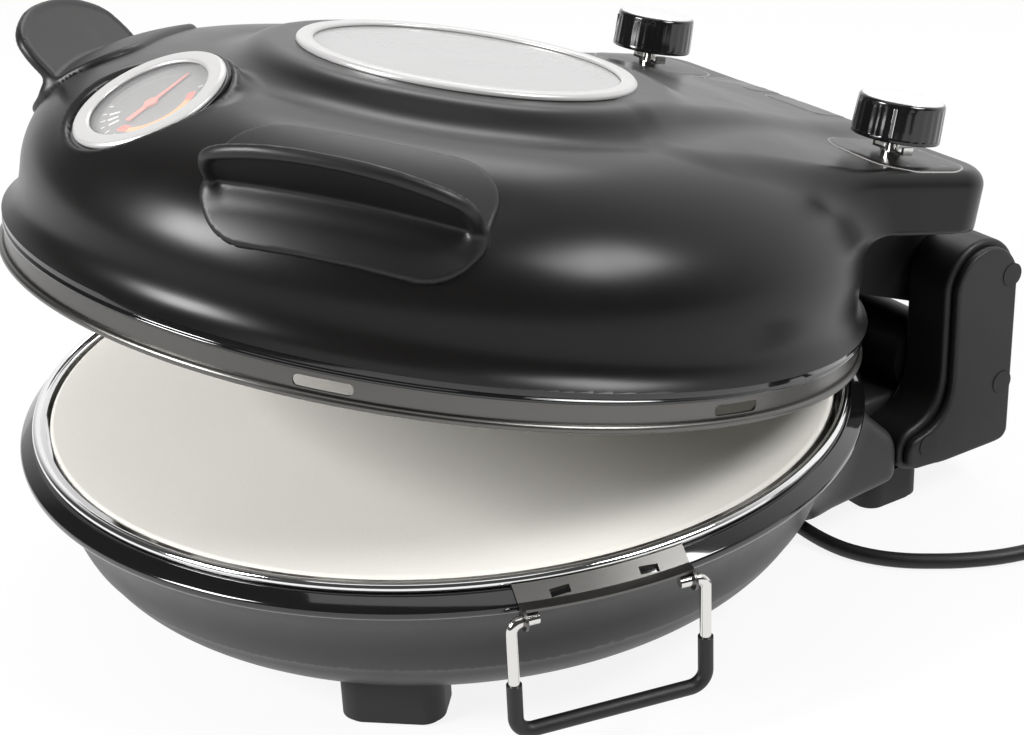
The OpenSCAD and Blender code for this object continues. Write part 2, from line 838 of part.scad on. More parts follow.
module lid_shell() {
    color([0.13, 0.12, 0.12]) lid_frame() difference() {
        union() {
            dome_body(0);
            plateau_body(0);
            deck_body(0);
            pod_body(0);
        }
        dome_body(-lid_wall);
        translate([0, 0, lip_h - cut]) cylinder(r = lip_r - lid_wall, h = cut + 2);
        plateau_body(-lid_wall);
        deck_body(-lid_wall);
        pod_body(-lid_wall);
        cylinder(r = bezel_r - 3, h = 200);
        translate([0, -gauge_y, gauge_h]) rotate([gauge_tilt, 0, 0])
            union() {
                translate([0, 0, -20]) cylinder(r = gauge_r - 2 + touch_gap, h = 40);
                translate([0, 0, -3]) cylinder(r = gauge_r + 1.2 + touch_gap, h = 30);
            }
        for (s = [-1, 1])
            translate([s * knob_x, knob_y, deck_h]) {
                translate([0, 2, -dial_t - sheet_gap]) linear_extrude(5)
                    round_rect(dial_w + 0.4, dial_d + 0.4, 14);
                translate([0, 0, -10]) cylinder(r = 5, h = 20, $fn = 48);
            }
        for (x = lens_x)
            translate([x, lens_y, deck_h]) {
                translate([0, 0, -dial_t - sheet_gap]) linear_extrude(5)
                    round_rect(lens_w + 0.4, lens_d + 0.4, 6);
                translate([0, 0, -10]) cylinder(r = 4.2, h = 20, $fn = 48);
            }
        // cable way from the dome to the neck
        translate([0, dome_r - 30, axis_h + 4]) rotate([-90, 0, 0]) cylinder(r = 6, h = 60);
    }
}

// places and sizes of the two indicator lenses
lens_x = [-38, 4.5];
lens_y = 171;
lens_w = 38;
lens_d = 20;

module lid_band() {
    r = band_r;
    color("black") lid_frame() rotate_extrude() polygon([
        [r - 2.6, skirt_h - 1], [r - 0.3, skirt_h - 1], [r + 0.6, skirt_h - 0.4],
        [r + 0.6, skirt_h + 0.4], [r, skirt_h + 1], [r, lip_h], [r - 2.6, lip_h]]);
}

module lid_skirt() {
    r = skirt_r;
    color("silver") lid_frame() difference() {
        rotate_extrude() {
            translate([r + bead_r - skirt_t, 0]) circle(bead_r, $fn = 32);
            translate([r - skirt_t, 0]) square([skirt_t, skirt_h - 1]);
            translate([r - 12, skirt_h - 1 - skirt_t]) square([12 - skirt_t / 2, skirt_t]);
        }
        for (a = slot_angles)
            rotate([0, 0, a - 90]) translate([r, 0, skirt_h / 2 - 0.1]) rotate([90, 0, 90])
                linear_extrude(8, center = true) round_rect(slot_w, slot_h, slot_h / 2 - 0.1);
    }
}

module lid_reflector() {
    t = reflector_t;
    r = skirt_r - 4;
    seat = plateau_h - 5.5;
    k = hood_knee;
    n = hood_top;
    color("gainsboro") lid_frame() difference() {
        rotate_extrude() polygon([
            [r, skirt_h - 1], [r, skirt_h - 1 + t], [r - 8, skirt_h + 3], [146, 33],
            [k[0], k[1]], [n[0], n[1]], [well_r + t, n[1] + 4], [well_r + t, seat],
            [bezel_r - 5.1, seat], [bezel_r - 5.1, seat + t],
            [well_r, seat + t], [well_r, n[1] + 3.4], [n[0] - 0.4, n[1] - t],
            [k[0] - 0.6, k[1] - t], [145.2, 32.6], [r - 8.6, skirt_h + 2], [r - 2, skirt_h - 1]]);
        for (side = [-1, 1])
            translate([side * 12, upper_turn_in_r - 1, 50]) cylinder(r = 4.2, h = 14, $fn = 32);
        translate([0, -gauge_y, gauge_h]) rotate([gauge_tilt, 0, 0])
            translate([0, 0, -60]) cylinder(r = stem_r + touch_gap, h = 50, $fn = 32);
    }
}

function hood_under(r) = hood_knee[1] - reflector_t - 0.3
    + (hood_knee[0] - r) * (hood_top[1] - hood_knee[1]) / (hood_knee[0] - hood_top[0]);

module upper_element() {
    color("dimgray") lid_frame() {
        element_turns(upper_turn_r, upper_turn_in_r, upper_element_h);
        for (side = [-1, 1])
            translate([side * 12, upper_turn_in_r - 1, upper_element_h])
                cylinder(r = element_d / 2 - 0.3, h = hood_top[1] + 4 - upper_element_h, $fn = 32);
    }
}

module upper_element_clips() {
    color("silver") lid_frame()
        for (a = [-30, 90, 210])
            rotate([0, 0, a])
                translate([upper_turn_r - 2, -4, upper_element_h + element_d / 2 + 0.1])
                    cube([3, 8, hood_under(upper_turn_r + 1)
                        - upper_element_h - element_d / 2 - 0.1]);
}

// hollow neck of the lid with the hinge barrel at its end
module lid_neck() {
    color([0.13, 0.12, 0.12]) lid_frame() difference() {
        union() {
            rotate([90, 0, 90]) translate([0, 0, -neck_lid_half]) linear_extrude(2 * neck_lid_half)
                neck_outline();
            translate([-barrel_half, hinge_y, axis_h]) rotate([0, 90, 0])
                cylinder(r = barrel_r, h = 2 * barrel_half);
        }
        rotate([90, 0, 90]) translate([0, 0, 30 - neck_lid_half])
            linear_extrude(2 * neck_lid_half - 60) neck_hollow(3);
        rotate_extrude() polygon(dome_points(touch_gap, -10));
        translate([0, hinge_y, axis_h]) rotate([0, 90, 0])
            cylinder(r = pin_r + pin_gap, h = 400, center = true);
    }
}

module neck_outline() {
    polygon([[120, 14], [hinge_y, axis_h - barrel_r], [hinge_y + 4, axis_h],
        [hinge_y, axis_h + barrel_r], [deck_rear - 2, deck_floor], [120, deck_floor]]);
}

// the hollow stops short of the barrel's bore
module neck_hollow(wall) {
    back = hinge_y - barrel_r;
    polygon([[120, 16 + wall], [back, axis_h - barrel_r + wall + 2],
        [back, deck_floor - wall], [120, deck_floor - wall]]);
}

// plate that closes the underside of the deck, outside the dome
module deck_floor_plate() {
    w = deck_half - lid_wall - 0.2;
    color("black") lid_frame() difference() {
        translate([0, 0, deck_floor]) linear_extrude(2) {
            translate([-w, 100]) square([2 * w, deck_rear - 100 - deck_corner]);
            translate([deck_corner - w, 100])
                square([2 * (w - deck_corner), deck_rear - lid_wall - 0.2 - 100]);
            for (s = [-1, 1])
                translate([s * (w - deck_corner), deck_rear - lid_wall - 0.2 - deck_corner])
                    circle(deck_corner);
        }
        dome_body(touch_gap);
        deck_screw_places() cylinder(r = 1.8, h = 20, center = true, $fn = 24);
    }
}

module deck_screw_places() {
    for (s = [-1, 1])
        for (p = [[88, 168], [97, 138]])
            translate([s * p[0], p[1], deck_floor]) children();
}

module deck_screws() {
    color("silver") lid_frame() deck_screw_places() mirror([0, 0, 1]) screw(3, 6);
}

module window_glass() {
    color([0.8, 0.8, 0.8, 0.6]) lid_frame()
        translate([0, 0, glass_top - glass_t]) cylinder(r = bezel_r - 5, h = glass_t);
}

module window_bezel() {
    color("silver") lid_frame() {
        rotate_extrude() polygon([
            [bezel_r, plateau_h], [bezel_r, plateau_h + bezel_h - 1], [bezel_r - 1, plateau_h + bezel_h],
            [window_r + 1.5, plateau_h + bezel_h], [window_r + 0.6, plateau_h + bezel_h - 0.6],
            [window_r + 0.6, glass_top + 0.1], [bezel_r - 4.9, glass_top + 0.1],
            [bezel_r - 4.9, plateau_h - 6], [bezel_r - 3.1, plateau_h - 6], [bezel_r - 3.1, plateau_h]]);
    }
}

module window_gasket() {
    color("gray") lid_frame()
        ring(bezel_r - 5, well_r + 1.2, plateau_h - 5.5 + reflector_t, glass_top - glass_t);
}

// ---- gauge ------------------------------------------------------------

module gauge_case() {
    color("black") gauge_frame() difference() {
        union() {
            translate([0, 0, -gauge_depth]) cylinder(r = gauge_r - 2, h = gauge_depth - 2);
            translate([0, 0, -3]) cylinder(r = gauge_r + 1.2, h = 1);
        }
        translate([0, 0, 2 - gauge_depth]) cylinder(r = gauge_bore_r, h = gauge_depth);
        translate([0, 0, -gauge_depth - cut]) cylinder(r = stem_r + 0.1, h = 10, $fn = 32);
    }
}

module gauge_bezel() {
    color("silver") gauge_frame() rotate_extrude() polygon([
        [gauge_dial_r, -0.6], [gauge_dial_r + 0.8, 0], [gauge_r - 1, 0], [gauge_r, -1],
        [gauge_r, -2], [gauge_bore_r, -2], [gauge_bore_r, -bezel_lip], [gauge_dial_r, -bezel_lip]]);
}

module gauge_dial() {
    color("gray") gauge_frame() {
        translate([0, 0, -dial_drop - 1]) cylinder(r = gauge_bore_r - 0.1, h = 1);
        translate([0, 0, -gauge_depth - 12])
            cylinder(r = stem_r, h = gauge_depth + 11.5 - dial_drop, $fn = 32);
    }
}

module gauge_lens() {
    color([0.9, 0.9, 0.95, 0.3]) gauge_frame()
        translate([0, 0, -bezel_lip - 0.1 - gauge_lens_t])
            cylinder(r = gauge_bore_r - 0.1, h = gauge_lens_t);
}

module gauge_needle() {
    color("red") gauge_frame() {
        translate([0, 0, needle_lift - dial_drop]) cylinder(r = 2.6, h = hub_t, $fn = 48);
        rotate([0, 0, needle_rest]) translate([0, 0, 2 * needle_lift - dial_drop]) linear_extrude(hub_t / 2)
            polygon([[-needle_tail, -1.3], [-needle_tail, 1.3], [0, 1.1], [gauge_dial_r - 4, 0.3],
                [gauge_dial_r - 4, -0.3], [0, -1.1]]);
    }
}

// ---- handles ----------------------------------------------------------

// plate that follows the dome, with a lip that rises outward
module handle(side) {
    a = side > 0 ? handle_angle - 90 : -90 - handle_angle;
    lean = handle_root_angle() - 3;
    color([0.16, 0.15, 0.15]) lid_frame() rotate([0, 0, a]) difference() {
        union() {
            intersection() {
                dome_body(handle_t);
                translate([shoulder_r + 39, 0, dome_side_h + 28]) rotate([0, 90 - lean, 0])
                    rotate([0, 0, 90]) linear_extrude(60, center = true)
                        round_rect(handle_w, handle_d, handle_round);
            }
            handle_lip();
            for (s = [-1, 1])
                translate([0, s * handle_w * 0.34 - 1, 0]) handle_rib();
        }
        dome_body(sheet_gap);
    }
}

module handle_lip() {
    translate([handle_root_r, 0, handle_root_h]) rotate([0, -handle_slope, 0]) intersection() {
        translate([handle_reach - lip_circle_r, 0, -lip_t]) cylinder(r = lip_circle_r, h = lip_t);
        translate([0, 0, -lip_t - cut]) linear_extrude(lip_t + 2 * cut)
            round_rect(2 * handle_reach, handle_w - 2, lip_corner);
    }
}

// small web under the lip
module handle_rib() {
    rotate([90, 0, 0]) translate([0, 0, -2]) linear_extrude(2)
        polygon([[handle_root_r - 8, handle_root_h - 14], [handle_root_r - 2, handle_root_h - 14],
            [handle_root_r + 5, handle_root_h], [handle_root_r - 8, handle_root_h]]);
}

module handle_left() handle(-1);
module handle_right() handle(1);

// ---- controls ---------------------------------------------------------

// switch body under the deck with a threaded neck, a bracket and two ears
module switch_body(side, r, h) {
    color("silver") knob_frame(side) difference() {
        union() {
            translate([0, 0, -lid_wall - h]) cylinder(r = r, h = h);
            translate([0, 0, -lid_wall]) cylinder(r = 4.8, h = lid_wall + 2, $fn = 48);
            translate([-8, -2.5, 2]) cube([16, 5, 1]);
            for (s = [-1, 1])
                translate([s * 8 - 0.6, -2.5, 2]) cube([1.2, 5, 3]);
        }
        translate([0, 0, -lid_wall - h / 2]) cylinder(r = shaft_r + pin_gap, h = 60, $fn = 48);
    }
}

module thermostat() switch_body(1, 14, 18);
module timer() switch_body(-1, 15, 19);

module knob_body(side, stop) {
    foot = knob_lift;
    color([0.05, 0.05, 0.05]) knob_frame(side) {
        rotate_extrude() polygon([
            [0, foot + 4], [knob_r - 2.5, foot + 4], [knob_r - 2.5, foot], [knob_r, foot],
            [knob_r, foot + 3], [knob_r - 0.4, foot + knob_h - 5],
            [knob_r - 1.2, foot + knob_h - 2.5], [knob_r - 2.6, foot + knob_h - 0.6],
            [knob_r - 3.2, foot + knob_h], [0, foot + knob_h]]);
        translate([0, 0, stop]) cylinder(r = shaft_r, h = foot + 5 - stop, $fn = 48);
    }
}

module thermostat_knob() knob_body(1, -9);
module timer_knob() knob_body(-1, -9);

module dial_plates() {
    color("black") for (s = [-1, 1])
        knob_frame(s) translate([0, 2, -dial_t - sheet_gap]) linear_extrude(dial_t)
            difference() {
                round_rect(dial_w, dial_d, 13.8);
                translate([0, -2]) circle(5, $fn = 48);
            }
}

module indicator_lenses() {
    color([0.3, 0.3, 0.3]) lid_frame() for (x = lens_x)
        translate([x, lens_y, deck_h - sheet_gap]) {
            translate([0, 0, -dial_t]) linear_extrude(dial_t) round_rect(lens_w, lens_d, 5.8);
            translate([0, 0, -6]) cylinder(r = 4, h = 5.5, $fn = 48);
        }
}

module pilot_lamps() {
    color("orange") lid_frame() for (x = lens_x)
        translate([x, lens_y, deck_floor + 2]) {
            cylinder(r = 5, h = 9, $fn = 48);
            cylinder(r = 3, h = deck_h - deck_floor - 8.2 - sheet_gap, $fn = 48);
        }
}

// ---- cord -------------------------------------------------------------

module strain_relief() {
    color("black") base_frame() translate([outlet_x, outlet_y, outlet_z])
        rotate([0, 90, 0]) rotate_extrude() polygon([
            [0, 0], [4.5, 0], [4.5, 2], [4.3, 2.4], [cord_d / 2 + 0.7, relief_l - 2],
            [cord_d / 2 + 0.4, relief_l - 1.5], [0, relief_l - 1.5]]);
}

function unit(v) = v / norm(v);
function along(p, i) = unit(p[min(i + 1, len(p) - 1)] - p[max(i - 1, 0)]);
function tube_ring(p, i, r, n) =
    let (t = along(p, i), side = unit(cross(t, [0, 0, 1])), up = cross(side, t))
    [for (k = [0:n - 1]) p[i] + r * (side * cos(360 * k / n) + up * sin(360 * k / n))];

// round tube swept along a list of points
module tube(p, r, n = 10) {
    m = len(p);
    rings = [for (i = [0:m - 1]) each tube_ring(p, i, r, n)];
    walls = [for (i = [0:m - 2]) for (k = [0:n - 1])
        [i * n + k, i * n + (k + 1) % n, (i + 1) * n + (k + 1) % n, (i + 1) * n + k]];
    polyhedron(rings, concat([[for (k = [0:n - 1]) n - 1 - k]], walls,
        [[for (k = [0:n - 1]) (m - 1) * n + k]]));
}

module cord() {
    color("black") base_frame() tube(cord_route, cord_d / 2);
}

module cord_coil() {
    color("black") base_frame() translate([coil_x, coil_y, 0])
        ring(coil_mean_r + 1.5 * cord_d, coil_mean_r - 1.5 * cord_d, 0, 2 * cord_d);
}

module cord_tie() {
    inner = 3 * cord_d + 0.8;
    color("black") base_frame() intersection() {
        translate([coil_x, coil_y - coil_mean_r, cord_d])
            rotate([0, 90, 0]) linear_extrude(8, center = true) difference() {
                round_rect(2 * cord_d + 1.6, inner + 1.6, 2);
                square([2 * cord_d + 0.1, inner], center = true);
            }
        translate([coil_x - 50, coil_y - 100, 0]) cube(100);
    }
}

module plug() {
    lead = [18, 4, plug_r - cord_d];
    color("black") base_frame() {
        translate([coil_x + 40, coil_y + 44, plug_r])
            rotate([0, 90, 0]) {
                rotate_extrude() polygon([
                    [0, -22], [cord_d / 2 + 1, -22], [cord_d / 2 + 2.5, 0], [plug_r - 5, 6],
                    [plug_r, 16], [plug_r, plug_l], [0, plug_l]]);
                for (s = [-1, 1])
                    translate([0, s * 9.5, plug_l]) cylinder(r = 2.4, h = 19, $fn = 32);
            }
        // end of the cord, from the coil up to the plug's sleeve
        translate([coil_x, coil_y + 40, cord_d]) rotate([0, acos(lead[2] / norm(lead)),
            atan2(lead[1], lead[0])]) cylinder(r = cord_d / 2, h = norm(lead), $fn = 32);
    }
}

// ---- output -----------------------------------------------------------

base_bowl();
base_rim();
tray_ring();
pizza_stone();
base_reflector();
lower_element();
lower_element_supports();
bottom_cover();
foot_front_left();
foot_front_right();
foot_rear_left();
foot_rear_right();
base_screws();
hinge_tower_left();
hinge_tower_right();
tower_cover_left();
tower_cover_right();
tower_screw_caps();
hinge_cross_member();
hinge_pins();
hinge_washers();
terminal_block();
thermal_cutout();
bail_bracket_left();
bail_bracket_right();
bail_left();
bail_right();
bail_sleeve_left();
bail_sleeve_right();
lid_shell();
lid_band();
lid_skirt();
lid_reflector();
upper_element();
upper_element_clips();
lid_neck();
deck_floor_plate();
deck_screws();
window_glass();
window_bezel();
window_gasket();
gauge_case();
gauge_bezel();
gauge_dial();
gauge_lens();
gauge_needle();
handle_left();
handle_right();
thermostat();
timer();
dial_plates();
indicator_lenses();
pilot_lamps();
thermostat_knob();
timer_knob();
strain_relief();
cord();
cord_coil();
plug();
cord_tie();
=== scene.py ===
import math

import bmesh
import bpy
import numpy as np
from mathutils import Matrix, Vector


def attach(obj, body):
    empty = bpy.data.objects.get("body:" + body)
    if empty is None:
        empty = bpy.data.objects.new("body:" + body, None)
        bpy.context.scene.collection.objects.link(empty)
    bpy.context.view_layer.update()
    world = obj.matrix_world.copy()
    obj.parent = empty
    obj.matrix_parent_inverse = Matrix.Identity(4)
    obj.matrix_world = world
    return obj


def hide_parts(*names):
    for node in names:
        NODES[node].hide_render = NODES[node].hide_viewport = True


bl_info = {
    "name": "Pizza maker finish",
    "version": (1, 0, 0),
    "blender": (4, 5, 0),
    "location": "View3D > Sidebar > Pizza maker",
    "description": "Skins, finishes, cord and stage for a countertop pizza maker",
    "category": "Object",
}

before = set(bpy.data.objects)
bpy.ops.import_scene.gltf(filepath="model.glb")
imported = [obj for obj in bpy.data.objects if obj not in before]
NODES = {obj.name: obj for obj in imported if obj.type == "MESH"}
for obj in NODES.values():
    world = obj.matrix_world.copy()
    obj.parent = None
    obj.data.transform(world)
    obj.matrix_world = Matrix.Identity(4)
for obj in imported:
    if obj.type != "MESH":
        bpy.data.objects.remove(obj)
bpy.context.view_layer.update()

MM = 0.001
SIDES = {"left": -1, "right": 1}

# the construction's sizes that the skins follow, in millimetres and degrees
BASE_BACK = 26.0
HINGE_Y, HINGE_Z, HINGE_OVER_LIP = 200.0, 94.0, 19.4
LID_OPEN = 13
DOME_R, DOME_SIDE, SHOULDER_A, SHOULDER_B = 161.0, 30.0, 61.0, 45.2
LIP_H, LIP_FLARE, LIP_INNER = 12.5, 5.5, 163.8
PLATEAU_H, PLATEAU_R, PLATEAU_SLOPE, PLATEAU_DROP = 84.0, 79.0, 9.0, 8.8
TAIL_START, TAIL_END, TAIL_HALF, TAIL_FLOOR, TAIL_FALL = 58.0, 170.0, 62.4, 58.0, 0.1724
DECK_HALF, DECK_REAR, DECK_TOP, DECK_FLOOR = 108.0, 187.0, 69.0, 44.6
DECK_MIDDLE, DECK_CORNER = 103.5, 20.0
KNOB_X, KNOB_Y, FLUTE_DEPTH = 80.0, 150.0, 0.18
MARK_ANGLE = {"thermostat": -51.5, "timer": -120}
GAUGE_Y, GAUGE_H, GAUGE_TILT = 128.5, 68.0, 33
POD_R, POD_DROP, POCKET_R, DIAL_FACE = 31.8, 3.0, 30.3, -3.36
POD_BORE, WINDOW_BORE = 28.4, 61.4
HANDLE_ANGLE, HANDLE_LEAN = 44, 36
HANDLE_R, HANDLE_Z = 145.6, 60.0
SKIRT_BEAD_R, BEAD_R = 165.5, 1.54
BOWL_TOP, BOWL_KNEE_R, BOWL_KNEE_H = 66.0, 151.0, 46.0
FLARE_END, NECK_HALF, NECK_H = 157.7, 72.7, 30.0
TOWER_X, TOWER_HALF, TOWER_FOOT, TOWER_WALL = 73.0, 19.0, 17.5, 23.0

QUICK_STEP, QUICK_FINE = 1.6, 1.5


# ---- places


def shift(x, y, z):
    return np.array(Matrix.Translation((x, y, z)))


def turn(axis, degrees):
    return np.array(Matrix.Rotation(math.radians(degrees), 4, axis))


def mirror_x(side):
    return np.diag([side, 1.0, 1.0, 1.0])


BASE = shift(0, -BASE_BACK, 0)
LID = BASE @ shift(0, HINGE_Y, HINGE_Z) @ turn("X", -LID_OPEN) @ shift(0, -HINGE_Y, -HINGE_OVER_LIP)
GAUGE = LID @ shift(0, -GAUGE_Y, GAUGE_H) @ turn("X", GAUGE_TILT)


def knob_place(side):
    return LID @ shift(side * KNOB_X, KNOB_Y, DECK_TOP)


def handle_place(side):
    return LID @ turn("Z", -90 + side * HANDLE_ANGLE)


def tower_place(side):
    return BASE @ mirror_x(side) @ shift(TOWER_X, HINGE_Y, HINGE_Z)


def moved(points, place):
    points = np.asarray(points, float)
    return points @ place[:3, :3].T + place[:3, 3]


# ---- distance shapes


def soft_min(a, b, k):
    h = np.clip(0.5 + 0.5 * (b - a) / k, 0, 1)
    return b + (a - b) * h - k * h * (1 - h)


def soft_max(a, b, k):
    return -soft_min(-a, -b, k)


def round_max(a, b, r):
    corner = np.hypot(np.maximum(a + r, 0), np.maximum(b + r, 0))
    return np.minimum(np.maximum(a, b), -r) + corner


def round_box(x, y, half_x, half_y, r):
    qx, qy = np.abs(x) - half_x + r, np.abs(y) - half_y + r
    return np.hypot(np.maximum(qx, 0), np.maximum(qy, 0)) + np.minimum(np.maximum(qx, qy), 0) - r


def slanted(across, up, rise, run):
    """Signed distance from a straight slope that falls by rise over each run."""
    return (across * rise + up * run) / math.hypot(rise, run)


def quarter_ellipse(r, h, a, b):
    """Distance from a body of round shoulder, r and h measured from its middle."""
    u, v = np.maximum(r, 0), np.maximum(h, 0)
    q = np.hypot(u / a, v / b)
    slope = np.hypot(u / a**2, v / b**2)
    return np.where(q > 1e-6, (q - 1) * q / np.maximum(slope, 1e-9), -min(a, b))


def dome(p):
    """The lid's round shell down to its flared lip."""
    x, y, z = p[..., 0], p[..., 1], p[..., 2]
    body = quarter_ellipse(np.hypot(x, y) - (DOME_R - SHOULDER_A), z - DOME_SIDE, SHOULDER_A, SHOULDER_B)
    t = np.clip((z - LIP_H) / (DOME_SIDE - LIP_H), 0, 1)
    return body - LIP_FLARE * (1 - t) ** 4


def in_gauge(p):
    return moved(p, np.linalg.inv(GAUGE) @ LID)


def lid_body(p):
    """Dome, plateau with its tail, control deck and gauge pod in one skin."""
    x, y, z = p[..., 0], p[..., 1], p[..., 2]
    r, side = np.hypot(x, y), np.abs(x)
    above = z - PLATEAU_H
    slope = slanted(r - PLATEAU_R - PLATEAU_SLOPE, above + PLATEAU_DROP, PLATEAU_DROP, PLATEAU_SLOPE)
    plateau = soft_max(above, slope, 4)
    fall = soft_max(above, slanted(y - TAIL_START, above, TAIL_FALL, 1), 6)
    lean = 0.636 * (side - TAIL_HALF) + 0.27 * (y - TAIL_START) + 0.723 * above
    tail = np.maximum(soft_max(fall, lean, 5), np.maximum(TAIL_FLOOR - z, y - TAIL_END))
    top = soft_min(plateau, soft_max(tail, 22 - y, 14), 2.5)
    plan = round_box(x, y - DECK_MIDDLE, DECK_HALF, DECK_REAR - DECK_MIDDLE, DECK_CORNER)
    deck = round_max(round_max(plan, z - DECK_TOP, 7), DECK_FLOOR - z, 1.5)
    g = in_gauge(p)
    rho, over = np.hypot(g[..., 0], g[..., 1]), g[..., 2] + POD_DROP
    pod = round_max(rho - POD_R + over * 7 / 37, over, 2)
    skin = soft_min(dome(p), top, 7)
    skin = soft_min(skin, deck, 14)
    skin = soft_min(skin, pod, 5)
    return round_max(skin, -soft_max(rho - POCKET_R, -over, 2.5), 2.4)


def bowl_body(p):
    """Round bowl, the flares beside it and the neck between the towers."""
    x, y, z = p[..., 0], p[..., 1], p[..., 2]
    r, side = np.hypot(x, y), np.abs(x)
    low = quarter_ellipse(r - BOWL_KNEE_R + 50, BOWL_KNEE_H - z, 50, 36)
    cone = np.maximum(slanted(r - BOWL_KNEE_R, BOWL_KNEE_H - z, 20, 12.5), 40 - z)
    bowl = soft_min(low, cone, 8)
    flare = slanted(side - 60, 98 - y, 9, 44)
    for plane in (
        slanted(side - 104, y - 107, 22.7, 2.6),
        slanted(side - 101.4, y - 129.7, 28, 2),
        slanted(y - FLARE_END, z - 37, 29, 31.7),
        17 - z,
        y - FLARE_END,
    ):
        flare = soft_max(flare, plane, 6)
    neck = round_max(round_box(x, y - 163.5, NECK_HALF, 53.5, 3), np.abs(z - NECK_H) - 13, 3)
    return soft_min(soft_min(bowl, flare, 16), neck, 6)


def tower_outline(y, z):
    """Side view of a hinge tower: a round-topped column on a long foot."""
    low = TOWER_FOOT - HINGE_Z
    column = np.where(z > 0, np.hypot(y, z) - TOWER_HALF, np.maximum(np.abs(y) - TOWER_HALF, low - z))
    foot = round_box(y + 16, z - low - 10, 26, 10, 8)
    body = soft_min(column, foot, 24)
    body = round_max(body, low - z, 8)
    return np.maximum(body, round_max(y - TOWER_HALF, low - z, 8))


def tower_body(p):
    half = TOWER_WALL / 2
    return round_max(tower_outline(p[..., 1], p[..., 2]), np.abs(p[..., 0] - half) - half, 2)


def tower_cover(p):
    return round_max(tower_outline(p[..., 1], p[..., 2]) + 2.5, np.abs(p[..., 0] - TOWER_WALL - 2) - 2, 1.3)


def handle_body(p):
    """Plate on the dome with a lip that curls up and out."""
    x, y, z = p[..., 0], p[..., 1], p[..., 2]
    skin = dome(p)
    down = 0.624 * (x - 139) - 0.7815 * (z - 58)
    plate = round_max(skin - 2, round_box(y, down, 47, 25, 20), 1.2)
    lean = math.radians(HANDLE_LEAN)
    out = (x - HANDLE_R) * math.cos(lean) + (z - HANDLE_Z) * math.sin(lean)
    up = (z - HANDLE_Z) * math.cos(lean) - (x - HANDLE_R) * math.sin(lean)
    plan = round_max(round_box(out, y, 30, 46, 24), np.hypot(out + 60, y) - 90, 3)
    rise = up + 1.5 - 0.002 * np.maximum(out, 0) ** 2
    lip = round_max(plan, np.abs(rise) - 1.3, 1.2)
    bead = np.maximum(np.hypot(plan + 2, rise + 0.7) - 2, -out - 6)
    lip = soft_min(lip, bead, 1.5)
    under = np.clip((2 - rise) / 10, 0, 1)
    fillet = 2 + 8 * under**2 * (3 - 2 * under)
    return np.maximum(soft_min(plate, lip, fillet), -1 - skin)


# ---- meshes


def slope_of(points, field):
    """Rate of change of a field along each axis."""
    step = 0.02
    rows = []
    for axis in range(3):
        offset = np.zeros(3)
        offset[axis] = step
        rows.append((field(points + offset) - field(points - offset)) / (2 * step))
    return np.stack(rows, -1)


def settle(points, field, free=(1, 1, 1), rounds=5):
    """Move points onto the zero level of a field, along the free axes."""
    points = points.copy()
    for _ in range(rounds):
        slope = slope_of(points, field) * free
        move = field(points)[:, None] * slope / np.maximum((slope**2).sum(1), 0.05)[:, None]
        size = np.linalg.norm(move, axis=1)[:, None]
        points -= move * np.minimum(1, 0.8 / np.maximum(size, 1e-9))
    return points


def at_height(ring, field, height):
    """Points of a ring brought level on the skin of a field."""
    return settle(np.c_[ring[:, :2], np.full(len(ring), height)], field, (1, 1, 0))


def net(field, low, high, step):
    """Quads over the zero level of a field inside a box."""
    axes = [np.arange(a, b + step * 0.5, step) for a, b in zip(low, high)]
    grid = np.stack(np.meshgrid(*axes, indexing="ij"), -1)
    value = field(grid)
    inside = value < 0
    size = [n - 1 for n in value.shape]
    total, count = np.zeros(size + [3]), np.zeros(size)
    for axis in range(3):
        for i, j in ((0, 0), (0, 1), (1, 0), (1, 1)):
            start = np.zeros(3, int)
            start[(axis + 1) % 3], start[(axis + 2) % 3] = i, j
            end = start.copy()
            end[axis] = 1
            a = tuple(slice(s, s + n) for s, n in zip(start, size))
            b = tuple(slice(s, s + n) for s, n in zip(end, size))
            hit = inside[a] != inside[b]
            share = value[a][hit] / (value[a][hit] - value[b][hit])
            place = grid[a][hit]
            place[:, axis] += share * step
            total[hit] += place
            count[hit] += 1
    live = count > 0
    number = np.full(size, -1)
    number[live] = np.arange(live.sum())
    points = total[live] / count[live][:, None]
    quads = []
    for axis in range(3):
        u, v = (axis + 1) % 3, (axis + 2) % 3
        first, second = [slice(1, -1)] * 3, [slice(1, -1)] * 3
        first[axis], second[axis] = slice(0, -1), slice(1, None)
        a, b = inside[tuple(first)], inside[tuple(second)]
        cell = np.argwhere(a != b)
        filled = a[a != b]
        cell[:, [u, v]] += 1
        ring = []
        for du, dv in ((1, 1), (0, 1), (0, 0), (1, 0)):
            c = cell.copy()
            c[:, u] -= du
            c[:, v] -= dv
            ring.append(number[tuple(c.T)])
        ring = np.stack(ring, 1)
        ring[~filled] = ring[~filled][:, ::-1]
        quads.append(ring)
    return settle(points, field), np.concatenate(quads)


def open_edges(quads):
    """Directed edges that only one quad uses."""
    edges = np.concatenate([np.stack([quads[:, i], quads[:, (i + 1) % 4]], 1) for i in range(4)])
    keys = np.sort(edges, axis=1)
    _, index, count = np.unique(keys, axis=0, return_index=True, return_counts=True)
    return edges[index[count == 1]]


def draw_out(points, quads, edges, targets):
    """Add a strip from each open edge to its moved copy."""
    used, back = np.unique(edges, return_inverse=True)
    back = back.reshape(edges.shape) + len(points)
    strip = np.stack([edges[:, 1], edges[:, 0], back[:, 0], back[:, 1]], 1)
    return np.concatenate([points, targets(points[used])]), np.concatenate([quads, strip]), back


